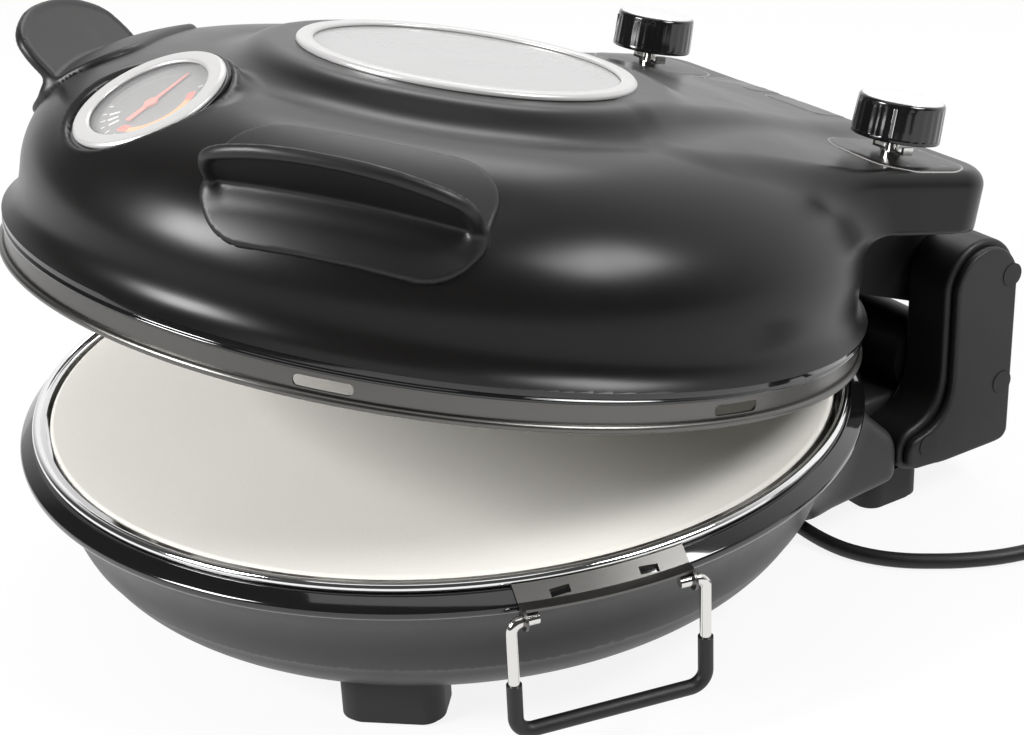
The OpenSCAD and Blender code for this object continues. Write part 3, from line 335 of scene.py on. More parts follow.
def add_piece(name, points, faces, place, body, coat, hides=(), normals=None, smooth=True):
    """A mesh object from millimetre points that rides on a body."""
    mesh = bpy.data.meshes.new(name)
    mesh.from_pydata((moved(points, place) * MM).tolist(), [], [list(map(int, f)) for f in faces])
    if np.linalg.det(place[:3, :3]) < 0:
        mesh.flip_normals()
    mesh.validate()
    mesh.polygons.foreach_set("use_smooth", [smooth] * len(mesh.polygons))
    if normals is not None:
        turned = normals @ place[:3, :3].T
        mesh.normals_split_custom_set_from_vertices(turned.tolist())
    return adopt(name, mesh, body, coat, hides)


def linked(name, data):
    """A new object in the scene."""
    obj = bpy.data.objects.new(name, data)
    bpy.context.scene.collection.objects.link(obj)
    return obj


def adopt(name, data, body, coat, hides=()):
    """A new object with its finish, its body and the nodes it stands for."""
    obj = linked(name, data)
    data.materials.append(finish(coat))
    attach(obj, body)
    if hides:
        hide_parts(*hides)
    return obj


def spacing(size, wider):
    return getattr(bpy.context.scene.pizza_sizes, size) * 1


def skin_piece(name, field, box, step, place, body, coat, hides):
    """A whole skin from a field, with the field's own slopes as its normals."""
    points, quads = net(field, box[0], box[1], step)
    return add_piece(name, points, quads, place, body, coat, hides, normals=unit(slope_of(points, field)))


def unit(v):
    return v / np.maximum(np.linalg.norm(v, axis=-1, keepdims=True), 1e-9)


def closes(profile):
    """Whether a turned profile runs back to its start: all but those that start on the axis."""
    return profile[0][0] > 0


def eased(corners, size):
    """A profile whose corners are rounded off by the given size."""
    corners = np.asarray(corners, float)
    line = []
    last = len(corners) - 1
    for i, corner in enumerate(corners):
        if not closes(corners) and i in (0, last):
            line.append(corner)
            continue
        before, after = corners[i - 1] - corner, corners[(i + 1) % (last + 1)] - corner
        reach = min(size, 0.45 * np.linalg.norm(before), 0.45 * np.linalg.norm(after))
        start, end = corner + unit(before) * reach, corner + unit(after) * reach
        for t in np.linspace(0, 1, 5):
            line.append((1 - t) ** 2 * start + 2 * t * (1 - t) * corner + t**2 * end)
    return np.array(line)


def lathe(profile, segments=192, wobble=None):
    """Points and quads of a profile of radius and height turned about Z."""
    profile = np.asarray(profile, float)
    angle = np.linspace(0, 2 * math.pi, segments, endpoint=False)
    radius = np.repeat(profile[None, :, 0], segments, 0)
    height = np.repeat(profile[None, :, 1], segments, 0)
    if wobble:
        radius = radius + wobble(angle[:, None], radius, height)
    points = np.stack([radius * np.cos(angle)[:, None], radius * np.sin(angle)[:, None], height], -1)
    n = len(profile)
    rows = n if closes(profile) else n - 1
    i, k = np.meshgrid(np.arange(segments), np.arange(rows), indexing="ij")
    j, m = (i + 1) % segments, (k + 1) % n
    quads = np.stack([i * n + k, j * n + k, j * n + m, i * n + m], -1).reshape(-1, 4)
    return points.reshape(-1, 3), quads


def turned_piece(name, profile, place, body, coat, hides=(), **turning):
    """A lathed object, its poles closed and its faces turned outward."""
    points, quads = lathe(profile, **turning)
    obj = add_piece(name, points, quads, place, body, coat, hides)
    clean(obj)
    return obj


def clean(obj, crease=35):
    """Merge double points, turn the faces outward and mark the sharp edges."""
    shape = bmesh.new()
    shape.from_mesh(obj.data)
    bmesh.ops.remove_doubles(shape, verts=shape.verts, dist=2e-6)
    bmesh.ops.dissolve_degenerate(shape, edges=shape.edges, dist=1e-7)
    bmesh.ops.recalc_face_normals(shape, faces=shape.faces)
    for edge in shape.edges:
        if len(edge.link_faces) == 2:
            edge.smooth = edge.calc_face_angle(0) < math.radians(crease)
    for face in shape.faces:
        face.smooth = True
    shape.to_mesh(obj.data)
    shape.free()


def outline_of(width, depth, r, steps=10):
    """Closed outline of a rectangle with round corners."""
    line = []
    for k, (sx, sy) in enumerate(((1, 1), (-1, 1), (-1, -1), (1, -1))):
        for a in np.linspace(0, 90, steps + 1):
            t = math.radians(90 * k + a)
            line.append((sx * (width / 2 - r) + r * math.cos(t), sy * (depth / 2 - r) + r * math.sin(t)))
    return np.array(line)


def stacked(rings, cap_low=True, cap_high=True):
    """Points and faces through rings of equal length, with end caps."""
    n = len(rings[0])
    points = np.concatenate(rings)
    faces = []
    for k in range(len(rings) - 1):
        for i in range(n):
            j = (i + 1) % n
            faces.append((k * n + i, k * n + j, (k + 1) * n + j, (k + 1) * n + i))
    if cap_low:
        faces.append(tuple(range(n))[::-1])
    if cap_high:
        faces.append(tuple(range((len(rings) - 1) * n, len(rings) * n)))
    return points, faces


# ---- shader maths


class Signal:
    """A shader socket; arithmetic on it adds Math nodes."""

    def __init__(self, paint, socket):
        self.paint, self.socket = paint, socket

    def math(self, operation, *values, clamp=False):
        settings = {"operation": operation, "use_clamp": clamp}
        return self.paint.add("Math", settings, dict(enumerate(values)))

    def __add__(self, other):
        return self.math("ADD", self, other)

    def __sub__(self, other):
        return self.math("SUBTRACT", self, other)

    def __mul__(self, other):
        return self.math("MULTIPLY", self, other)

    def __truediv__(self, other):
        return self.math("DIVIDE", self, other)

    def clamped(self):
        return self.math("ADD", self, 0.0, clamp=True)

    def step(self, low, high):
        """0 below low, 1 above high and straight between."""
        return ((self - low) / (high - low)).clamped()


class Nodes:
    """An emptied node tree and the one method that fills it."""

    def __init__(self, owner):
        owner.use_nodes = True
        self.tree = owner.node_tree
        self.tree.nodes.clear()

    def add(self, kind, settings=None, values=None, output=0):
        node = self.tree.nodes.new("ShaderNode" + kind)
        for key, value in (settings or {}).items():
            setattr(node, key, value)
        for key, value in (values or {}).items():
            self.feed(node.inputs[key], value)
        return Signal(self, node.outputs[output]) if node.outputs else None

    def feed(self, socket, value):
        if isinstance(value, Signal):
            self.tree.links.new(value.socket, socket)
        else:
            socket.default_value = value

    def seen(self):
        """1 for rays from the camera, or seen in a mirror or through glass."""
        kinds = ("Is Camera Ray", "Is Glossy Ray", "Is Transmission Ray")
        camera, glossy, through = (self.add("LightPath", output=kind) for kind in kinds)
        return (camera + glossy + through).clamped()


class Paint(Nodes):
    """A material on a Principled shader, and the nodes that feed it."""

    def __init__(self, name, surface=None, **constants):
        self.material = bpy.data.materials.new(name)
        super().__init__(self.material)
        body = self.add("BsdfPrincipled")
        self.shader = body.socket.node
        self.set(**constants)
        if surface:
            body = surface(self, body)
        self.add("OutputMaterial", None, {"Surface": body})

    def set(self, **values):
        for key, value in values.items():
            self.feed(self.shader.inputs[key.replace("_", " ").title().replace("Ior", "IOR")], value)

    def coords(self, scale=(1.0, 1.0, 1.0), turned=(0.0, 0.0, 0.0)):
        where = self.add("TexCoord", output="Object")
        settings = {"vector_type": "TEXTURE"}
        turned = [math.radians(a) for a in turned]
        where = self.add("Mapping", settings, {"Vector": where, "Rotation": turned})
        return self.add("VectorMath", {"operation": "MULTIPLY"}, {0: where, 1: scale})

    def noise(self, size, detail=2.0, rough=0.5, stretch=(1.0, 1.0, 1.0), turned=(0.0, 0.0, 0.0)):
        """Soft noise between 0 and 1 whose lumps are size millimetres wide."""
        where = self.coords(stretch, turned)
        values = {"Vector": where, "Scale": 1 / (size * MM), "Detail": detail, "Roughness": rough}
        return self.add("TexNoise", None, values)

    def mix(self, share, first, second):
        """Blend of two colours."""
        return self.add("Mix", {"data_type": "RGBA"}, {0: share, 6: first, 7: second}, output=2)

    def bump(self, height, depth, strength=1.0):
        values = {"Height": height, "Distance": depth * MM, "Strength": strength}
        self.set(normal=self.add("Bump", None, values))


def shade(colour, factor):
    """A colour made darker or paler, with its alpha."""
    return tuple(min(1.0, c * factor) for c in colour[:3]) + (1.0,)


def plain_finish(name, colour, rough, mottle=0.12, smudge=0.06, grain=0.5, depth=0.01, **constants):
    """Even finish with slow colour drift, uneven sheen and a fine grain."""
    paint = Paint(name, **{"metallic": 0.0, **constants})
    drift = paint.noise(28, 3)
    paint.set(base_color=paint.mix(drift, shade(colour, 1 - mottle), shade(colour, 1 + mottle)))
    paint.set(roughness=(paint.noise(14, 4) - 0.5) * (2 * smudge) + rough)
    paint.bump(paint.noise(grain, 2), depth)
    return paint.material


def brushed_finish(name, colour, rough, turned, stretch=(1, 1, 30), depth=0.004):
    """Metal with fine lines drawn along one direction."""
    paint = Paint(name, metallic=1.0)
    lines = paint.noise(6, 4, 0.6, stretch, turned)
    drift = paint.noise(40, 2)
    tone = lines * 0.6 + drift * 0.4
    paint.set(base_color=paint.mix(tone, shade(colour, 0.92), shade(colour, 1.08)))
    paint.set(roughness=lines * 0.12 + (rough - 0.05))
    paint.bump(lines, depth)
    return paint.material


def stone_finish(name, colour):
    """Pale fired stone with soft clouds, fine specks and open pores."""
    paint = Paint(name, metallic=0.0)
    clouds = paint.noise(60, 4, 0.6)
    specks = paint.noise(1.1, 2).step(0.62, 0.72)
    body = paint.mix(clouds, shade(colour, 0.96), shade(colour, 1.04))
    paint.set(base_color=paint.mix(specks * 0.35, body, shade(colour, 0.8)))
    paint.set(roughness=paint.noise(20, 3) * 0.1 + 0.62)
    pores = paint.noise(0.9, 3, 0.6)
    paint.bump(pores, 0.03, 0.6)
    return paint.material


def glass_finish(name, colour, alpha, rough):
    """Clear pane with a faint film of wiping marks."""
    paint = Paint(name, metallic=0.0, coat_weight=0.6, coat_roughness=0.05)
    film = paint.noise(30, 3, 0.5, (1, 0.35, 1))
    paint.set(base_color=paint.mix(film, shade(colour, 0.94), shade(colour, 1.05)))
    paint.set(roughness=film * 0.05 + rough, alpha=film * 0.06 + alpha)
    return paint.material


# materials already made, by finish name
FINISH = {}


def finish(name):
    """The named material, made on first use."""
    if name not in FINISH:
        FINISH[name] = make_finish(name)
    return FINISH[name]


def even_finishes(dome, bowl, black):
    """Colour, roughness and the other settings of each plain finish."""
    printed = dict(mottle=0.05, depth=0.002)
    return {
        "bowl_grey": (bowl, 0.42, dict(mottle=0.06, depth=0.006, specular_ior_level=0.3)),
        "dome_paint": (dome, 0.29, dict(mottle=0.06, smudge=0.03, grain=0.45, depth=0.004,
                                        specular_ior_level=0.25)),
        "charcoal": (shade(dome, 0.85), 0.5, dict(grain=0.6, depth=0.012)),
        "handle_plastic": (shade(dome, 1.1), 0.42, dict(smudge=0.03, grain=0.7, depth=0.008,
                                                        specular_ior_level=0.4)),
        "cover_grey": (shade(dome, 1.5), 0.5, dict(grain=0.7, depth=0.015)),
        "rim_black": (black, 0.08, dict(mottle=0.2, smudge=0.03, depth=0.001, coat_weight=0.6,
                                        coat_roughness=0.03)),
        "tray_chrome": ((0.86, 0.86, 0.86), 0.06, dict(metallic=1.0, mottle=0.04, smudge=0.03, depth=0.001)),
        "reflector": ((0.62, 0.61, 0.59), 0.34, dict(metallic=1.0, mottle=0.1, smudge=0.1, grain=1.5)),
        "element": ((0.17, 0.15, 0.14), 0.45, dict(metallic=0.9, mottle=0.3, smudge=0.1, grain=0.8)),
        "spring_wire": ((0.74, 0.73, 0.71), 0.12, dict(metallic=1.0, mottle=0.06, smudge=0.05, depth=0.002)),
        "ceramic": ((0.82, 0.8, 0.75), 0.3, dict(mottle=0.04)),
        "foot_rubber": ((0.009, 0.009, 0.009), 0.6, dict(grain=0.8, depth=0.02)),
        "cord_black": ((0.006, 0.006, 0.0065), 0.5, dict(grain=0.6)),
        "plug_black": ((0.015, 0.015, 0.016), 0.45, dict(grain=0.7, depth=0.012)),
        "dial_face": ((0.2, 0.197, 0.193), 0.5, dict(mottle=0.05, depth=0.003)),
        "needle": ((0.75, 0.25, 0.2), 0.4, printed),
        "needle_pale": ((0.85, 0.82, 0.8), 0.4, dict(mottle=0.03, depth=0.002)),
        "knob_black": (black, 0.14, dict(mottle=0.15, smudge=0.04, depth=0.002, coat_weight=0.4,
                                         coat_roughness=0.05)),
        "cap_silver": ((0.74, 0.74, 0.75), 0.22, dict(metallic=0.4, mottle=0.03, smudge=0.03, depth=0.002)),
        "bezel_silver": ((0.56, 0.555, 0.55), 0.3, dict(metallic=0.35, mottle=0.03, smudge=0.03, depth=0.002)),
        "dial_black": (shade(dome, 0.7), 0.3, dict(mottle=0.05, depth=0.004)),
        # pale print for the ticks and scale lines, also used for the painted edge highlight round the dial
        # pads
        "pale_print": ((0.32, 0.31, 0.3), 0.45, printed),
        "print_amber": ((0.85, 0.4, 0.18), 0.45, printed),
        "print_red": ((0.8, 0.17, 0.12), 0.45, printed),
        "lamp_lens": (shade(dome, 1.15), 0.28, dict(mottle=0.05, depth=0.003)),
        "lamp_amber": ((0.75, 0.3, 0.05), 0.2, dict(mottle=0.05)),
        "gasket": ((0.2, 0.2, 0.2), 0.6, dict(grain=0.8, depth=0.02)),
    }


def make_finish(name):
    """A new material from the finish of that name."""
    tones = bpy.context.scene.pizza_colours
    even = even_finishes(tuple(tones.dome), tuple(tones.bowl), tuple(tones.gloss_black))
    if name in even:
        colour, rough, settings = even[name]
        return plain_finish(name, colour, rough, **settings)
    if name == "stainless":
        return brushed_finish(name, tuple(tones.steel), 0.3, (-LID_OPEN, 0, 0))
    if name == "knob_silver":
        return brushed_finish(name, (0.85, 0.85, 0.85), 0.16, (-LID_OPEN, 0, 0), (1, 30, 1), 0.002)
    if name == "stone":
        return stone_finish(name, tuple(tones.stone))
    if name == "window_glass":
        return glass_finish(name, (0.37, 0.37, 0.365), 0.92, 0.22)
    if name == "gauge_glass":
        return glass_finish(name, (0.9, 0.9, 0.9), 0.1, 0.02)
    raise RuntimeError("no finish is called " + name)


# ---- sizes and colours


def colour_property(label, text, default):
    return bpy.props.FloatVectorProperty(
        name=label, description=text, default=default, subtype="COLOR", size=3, min=0, max=1
    )


def number_property(label, text, default, low, high, **kind):
    return bpy.props.FloatProperty(name=label, description=text, default=default, min=low, max=high, **kind)


class PizzaSizes(bpy.types.PropertyGroup):
    """Sizes of the dressing that may be changed."""

    mesh_step: number_property("Mesh step", "Spacing of the skins' points, in millimetres", 1.6, 1, 5)
    fine_step: number_property("Fine step", "Spacing of the handles' points, in millimetres", 1.25, 0.8, 3)
    cord_diameter: number_property("Cord diameter", "Diameter of the cord", 0.0062, 0.004, 0.01, unit="LENGTH")
    knob_flutes: bpy.props.IntProperty(
        name="Knob flutes", description="Number of shallow flutes round a knob", default=30, min=0, max=60
    )
    lamp_power: number_property("Lamp power", "Share of the studio lamps' power", 1.0, 0, 3)


class PizzaColours(bpy.types.PropertyGroup):
    """Main colours of the appliance."""

    dome: colour_property("Dome", "Satin paint of the lid", (0.0065, 0.006, 0.0058))
    bowl: colour_property("Bowl", "Satin paint of the base", (0.032, 0.032, 0.033))
    gloss_black: colour_property("Gloss black", "Rim, band and knobs", (0.006, 0.006, 0.0065))
    steel: colour_property("Steel", "Brushed skirt and brackets", (0.15, 0.147, 0.141))
    stone: colour_property("Stone", "Baking stone", (0.76, 0.74, 0.69))
    floor: colour_property("Floor", "Studio floor", (0.86, 0.86, 0.86))


# ---- operators


class AddCamera(bpy.types.Operator):
    """Set the studio camera"""

    bl_idname = "pizza.camera"
    bl_label = "Camera"

    VIEW = (58.4, 25.4, -2.8)  # azimuth, elevation and roll in degrees
    PLACE = (0.6290, -0.3801, 0.4202)
    LENS, SENSOR = 70.14, 36

    def execute(self, context):
        azimuth, elevation, roll = (math.radians(a) for a in self.VIEW)
        back = Vector((
            math.sin(azimuth) * math.cos(elevation),
            -math.cos(azimuth) * math.cos(elevation),
            math.sin(elevation),
        ))
        right = Vector((math.cos(azimuth), math.sin(azimuth), 0))
        up = back.cross(right)
        tilted = math.cos(roll) * right + math.sin(roll) * up
        upright = math.cos(roll) * up - math.sin(roll) * right
        data = bpy.data.cameras.new("studio_camera")
        data.lens, data.sensor_width = self.LENS, self.SENSOR
        camera = linked("studio_camera", data)
        camera.matrix_world = Matrix.LocRotScale(
            Vector(self.PLACE), Matrix((tilted, upright, back)).transposed(), None
        )
        context.scene.camera = camera
        return {"FINISHED"}


# route of the cord: along the table, into a coil and out to the plug
CORD_EXIT = (68.5, 114.0, 8.0)
CORD_LOW = 3.1
CORD_LINE = [
    (76, 114.2, 7.4), (86, 115.2, 5.2), (97, 117.2, 3.5), (108.5, 120, 3.1),
    (119.5, 125.5, 3.1), (128.4, 133, 3.1), (135, 141, 3.1), (141.6, 150.5, 3.1),
    (148, 163, 3.1), (152, 175, 3.1), (153.3, 184, 3.1), (153.2, 191, 3.1),
]
COIL_MIDDLE = (190.0, 215.0)
COIL_RADII = (41.2, 35.0, 28.8)
COIL_UPPER = 9.3
COIL_TURNS = 5.25
TURN_POINTS = 36
PLUG_H = 18.5


def eased_step(t):
    """0 to 1 with a soft start and a soft end."""
    t = min(max(t, 0.0), 1.0)
    return (1 - math.cos(math.pi * t)) / 2


def coil_point(swept):
    """A point of the coil after so many degrees, clockwise from its left."""
    outer, middle, inner = COIL_RADII
    lap, phase = divmod(swept, 360)
    inward, outward = eased_step((phase - 235) / 100), eased_step((phase - 50) / 120)
    z = CORD_LOW
    if lap == 0:
        r = outer + (middle - outer) * inward
    elif lap == 1:
        r = middle + (inner - middle) * inward
    elif lap == 2:
        r, z = inner, CORD_LOW + (COIL_UPPER - CORD_LOW) * eased_step((phase - 160) / 100)
    elif lap == 3:
        r, z = inner + (middle - inner) * outward, COIL_UPPER
    elif lap == 4:
        r, z = middle + (outer - middle) * outward, COIL_UPPER
    else:
        r, z = outer + 2 * eased_step(phase / 90), COIL_UPPER + 4.14 * max(0, (phase - 45) / 45) ** 2
    angle = math.radians(180 - swept)
    return (COIL_MIDDLE[0] + r * math.cos(angle), COIL_MIDDLE[1] + r * math.sin(angle), z)


def cord_path():
    """Points of the whole cord in metres, in the object's frame."""
    x0, y0 = COIL_MIDDLE
    line = [CORD_EXIT] + list(CORD_LINE)
    for angle, r in ((200, 42.4), (187, 41.4)):
        t = math.radians(angle)
        line.append((x0 + r * math.cos(t), y0 + r * math.sin(t), CORD_LOW))
    line += [coil_point(360 * k / TURN_POINTS) for k in range(round(COIL_TURNS * TURN_POINTS))]
    z = coil_point(COIL_TURNS * 360 - 0.001)[2]
    for x, y, height in ((0, 43.2, z), (6, 43.5, z + 1.9), (12, 43.8, 17.4), (18, 44, 18.4), (24, 44, PLUG_H)):
        line.append((x0 + x, y0 + y, height))
    return np.array(line)


def fine_line(line, spacing):
    """Smooth line through points, at even steps."""
    line = np.asarray(line, float)
    padded = np.concatenate([[2 * line[0] - line[1]], line, [2 * line[-1] - line[-2]]])
    dense = []
    for a, b, c, d in zip(padded, padded[1:], padded[2:], padded[3:]):
        for t in np.linspace(0, 1, 12, endpoint=False):
            dense.append(0.5 * (2 * b + (c - a) * t + (2 * a - 5 * b + 4 * c - d) * t**2
                                + (3 * b - 3 * c + d - a) * t**3))
    dense = np.array(dense + [line[-1]])
    travel = np.concatenate([[0], np.cumsum(np.linalg.norm(np.diff(dense, axis=0), axis=1))])
    count = max(2, int(round(travel[-1] / spacing)) + 1)
    even = np.linspace(0, travel[-1], count)
    return np.stack([np.interp(even, travel, dense[:, k]) for k in range(3)], 1)


class AddCord(bpy.types.Operator):
    """Lay the mains cord with its plug, sleeve and tie"""

    bl_idname = "pizza.cord"
    bl_label = "Cord"

    def execute(self, context):
        diameter = context.scene.pizza_sizes.cord_diameter
        line = moved(fine_line(cord_path(), 3.6), BASE) * MM
        curve = bpy.data.curves.new("mains_cord", "CURVE")
        curve.dimensions = "3D"
        curve.bevel_depth, curve.bevel_resolution, curve.use_fill_caps = diameter / 2, 4, True
        spline = curve.splines.new("POLY")
        spline.points.add(len(line) - 1)
        spline.points.foreach_set("co", np.c_[line, np.ones(len(line))].ravel())
        spline.use_smooth = True
        cord = adopt("mains_cord", curve, "base", "cord_black", ("cord", "cord_coil"))
        pieces = [self.plug(), self.sleeve(), self.tie()]
        exit_point = tuple(moved([CORD_EXIT], BASE)[0] * MM)
        return {"FINISHED"}

    def plug(self):
        """Moulded plug with a ribbed grip and two round pins"""
        place = BASE @ shift(COIL_MIDDLE[0] + 40, COIL_MIDDLE[1] + 44, PLUG_H) @ turn("Y", 90)
        body = eased([(0, -22), (4.0, -22), (5.2, -6), (6.0, 0), (13.2, 5), (18.2, 15), (18.4, 44.5),
                      (17.4, 46), (0, 46)], 2.5)

        def grip(angle, radius, height):
            """Finger grooves round the body"""
            waves = 0.45 * (np.cos(height * 2 * math.pi / 5) - 1)
            return waves * ((height > 19) & (height < 39) & (radius > 15))

        grooves = [(18.3, z) for z in np.linspace(19, 39, 41)]
        first = np.argmax(body[:, 1] >= 19)
        profile = np.concatenate([body[:first], grooves, body[first:]])
        obj = turned_piece("mains_plug", profile, place, "base", "plug_black", ("plug",),
                           segments=64, wobble=grip)
        obj.data.materials.append(finish("tray_chrome"))
        shape = bmesh.new()
        shape.from_mesh(obj.data)
        pin = eased([(0, 45), (2.4, 45), (2.4, 65), (0, 65)], 1.2)
        for s in (-1, 1):
            points, quads = lathe(pin, 24)
            verts = [shape.verts.new(v) for v in moved(points + np.array([0, 9.5 * s, 0]), place) * MM]
            for quad in quads:
                face = shape.faces.new([verts[i] for i in quad])
                face.material_index, face.smooth = 1, True
        shape.to_mesh(obj.data)
        shape.free()
        clean(obj)
        return obj

    def sleeve(self):
        """Tapered strain relief with three cut rings"""
        place = BASE @ shift(44, 114, 8) @ turn("Y", 90)
        profile = [(0, 0), (4.5, 0), (4.5, 2)]
        for k in range(5):
            z = 4 + 4 * k
            r = 4.3 - 0.12 * k
            profile += [(r, z - 0.9), (r, z + 0.9), (r - 0.5, z + 1.3), (r - 0.5, z + 2.3)]
        profile += [(3.6, 24.3), (0, 24.5)]
        return turned_piece("cord_sleeve", profile, place, "base", "plug_black", ("strain_relief",),
                            segments=48)

    def tie(self):
        """Flat band that holds the coil's turns together"""
        place = BASE @ shift(COIL_MIDDLE[0], COIL_MIDDLE[1] - 35, 6.2)
        outer, inner = outline_of(14.0, 21.0, 2.2, 5), outline_of(12.7, 19.7, 1.6, 5)
        tight = inner * 0.99
        rings = []
        for x, line in ((-4, inner), (-3.6, outer), (3.6, outer), (4, inner), (3.6, tight), (-3.6, tight)):
            high = np.maximum(line[:, 0], -6.15)
            rings.append(np.c_[np.full(len(line), x), line[:, 1], high])
        points, faces = stacked(rings + [rings[0]], False, False)
        obj = add_piece("coil_tie", points, faces, place, "base", "plug_black", ("cord_tie",))
        clean(obj)
        return obj


class AddLid(bpy.types.Operator):
    """Build the lid's smooth skin"""

    bl_idname = "pizza.lid"
    bl_label = "Lid skin"

    def execute(self, context):
        step = spacing("mesh_step", QUICK_STEP)
        points, quads = net(lid_body, (-170, -170, LIP_H), (170, 190, 88), step)
        edges = open_edges(quads)
        low = points[edges].max(axis=1)[:, 2] < LIP_H + 2 * step
        edges = edges[low]

        def lip(ring):
            return at_height(ring, lid_body, LIP_H + 0.01)

        def inward(ring):
            share = LIP_INNER / np.hypot(ring[:, 0], ring[:, 1])
            return ring * share[:, None] * (1, 1, 0) + (0, 0, LIP_H)

        points, quads, edges = draw_out(points, quads, edges, lip)
        normals = unit(slope_of(points, lid_body))
        points, quads, edges = draw_out(points, quads, edges, inward)
        normals = np.concatenate([normals, np.tile((0, 0, -1.0), (len(points) - len(normals), 1))])
        middle = points[quads].mean(axis=1)
        local = in_gauge(middle)
        in_pod = (np.hypot(local[:, 0], local[:, 1]) < POD_BORE) & (np.abs(local[:, 2] + POD_DROP) < 2)
        in_window = (np.hypot(middle[:, 0], middle[:, 1]) < WINDOW_BORE) & (middle[:, 2] > PLATEAU_H - 4)
        quads = quads[~(in_pod | in_window)]
        add_piece("lid_skin", points, quads, LID, "lid", "dome_paint", ("lid_shell",), normals=normals)
        return {"FINISHED"}


class AddBowl(bpy.types.Operator):
    """Build the base's smooth bowl, flares and neck"""

    bl_idname = "pizza.bowl"
    bl_label = "Bowl skin"

    def execute(self, context):
        step = spacing("mesh_step", QUICK_STEP)
        points, quads = net(bowl_body, (-168, -168, 8), (168, 222, BOWL_TOP), step)

        def brim(ring):
            return at_height(ring, bowl_body, BOWL_TOP - 0.05)

        points, quads, _ = draw_out(points, quads, open_edges(quads), brim)
        normals = unit(slope_of(points, bowl_body))
        add_piece("bowl_skin", points, quads, BASE, "base", "bowl_grey", ("base_bowl",), normals=normals)
        return {"FINISHED"}


class AddTowers(bpy.types.Operator):
    """Build the two hinge towers and their side covers"""

    bl_idname = "pizza.towers"
    bl_label = "Hinge towers"

    def execute(self, context):
        step = context.scene.pizza_sizes.fine_step
        for word, side in SIDES.items():
            place = tower_place(side)
            skin_piece("tower_" + word, tower_body, ((-3, -46, -80), (26, 23, 23)), step, place, "base",
                       "charcoal", ("hinge_tower_" + word,))
            skin_piece("cover_" + word, tower_cover, ((21, -44, -78), (29, 21, 21)), step * 0.9, place, "base",
                       "cover_grey", ("tower_cover_" + word,))
        return {"FINISHED"}


class AddHandles(bpy.types.Operator):
    """Build the two lip handles"""

    bl_idname = "pizza.handles"
    bl_label = "Handles"

    def execute(self, context):
        step = spacing("fine_step", QUICK_FINE)
        for word, side in SIDES.items():
            skin_piece("lip_handle_" + word, handle_body, ((110, -50, 34), (176, 50, 86)), step,
                       handle_place(side), "lid", "handle_plastic", ("handle_" + word,))
        return {"FINISHED"}


class AddRims(bpy.types.Operator):
    """Turn the gloss rim, tray bead, stone, band, skirt bead and bezels"""

    bl_idname = "pizza.rims"
    bl_label = "Rims and stone"

    def execute(self, context):
        rim = [(158, 66), (158, 73.6), (162, 73.6), (167, 69.8), (167, 67.5), (165.5, 66)]
        turned_piece("gloss_rim", eased(rim, 0.8), BASE, "base", "rim_black", ("base_rim",))
        bead = [(159.8 + 1.8 * math.cos(a), 75.4 + 1.8 * math.sin(a)) for a in np.linspace(-2.0, 2.9, 20)]
        tray = [(148.3, 63), (148.3, 64), (156.3, 64), (156.3, 76.2)] + bead[::-1]
        tray += [(157.3, 74.6), (157.3, 63)]
        turned_piece("tray", tray, BASE, "base", "tray_chrome", ("tray_ring",))
        stone = [(0, 64), (153, 64), (155, 66), (155, 74.8), (153.8, 76), (0, 76)]
        turned_piece("baking_stone", eased(stone, 1.0), BASE, "base", "stone", ("pizza_stone",))
        band = [(163, 8), (165.3, 8), (166.2, 8.6), (166.2, 9.4), (165.6, 10), (165.6, 12.5), (163, 12.5)]
        turned_piece("gloss_band", eased(band, 0.35), LID, "lid", "rim_black", ("lid_band",))
        edge = [(SKIRT_BEAD_R + BEAD_R * math.cos(a), BEAD_R * math.sin(a))
                for a in np.linspace(0, 2 * math.pi, 20, False)]
        turned_piece("skirt_bead", edge, LID, "lid", "stainless")
        window = [(65, 84), (65, 85.4), (64, 86.4), (59.5, 86.4), (58.6, 85.8), (58.6, 84.9), (60.1, 84.9),
                  (60.1, 78), (61.9, 78), (61.9, 84)]
        turned_piece("window_ring", eased(window, 0.5), LID, "lid", "bezel_silver", ("window_bezel",))
        gauge = [(22.3, -0.6), (23.1, 0), (27.8, 0), (28.8, -1), (28.8, -2), (24.8, -2), (24.8, -1.2),
                 (22.3, -1.2)]
        turned_piece("gauge_ring", eased(gauge, 0.5), GAUGE, "lid", "bezel_silver", ("gauge_bezel",))
        return {"FINISHED"}


def on_deck(ring, lift):
    """Points dropped onto the lid's skin from above the deck, then lifted off it."""
    return settle(np.c_[ring, np.full(len(ring), DECK_TOP + 3)], lid_body, (0, 0, 1), 10) + (0, 0, lift)


def pad_on(name, outline, middle, lift, coat):
    """A thin pad that follows the skin under it, with a rounded edge."""
    rings = [on_deck(outline * scale + middle, rise)
             for scale, rise in ((1.0, -0.6), (1.0, lift - 0.12), (0.985, lift))]
    rings += [on_deck(outline * scale + middle, lift) for scale in (0.8, 0.6, 0.4, 0.2)]
    points, faces = stacked(rings)
    obj = add_piece(name, points, faces, LID, "lid", coat)
    clean(obj, 40)


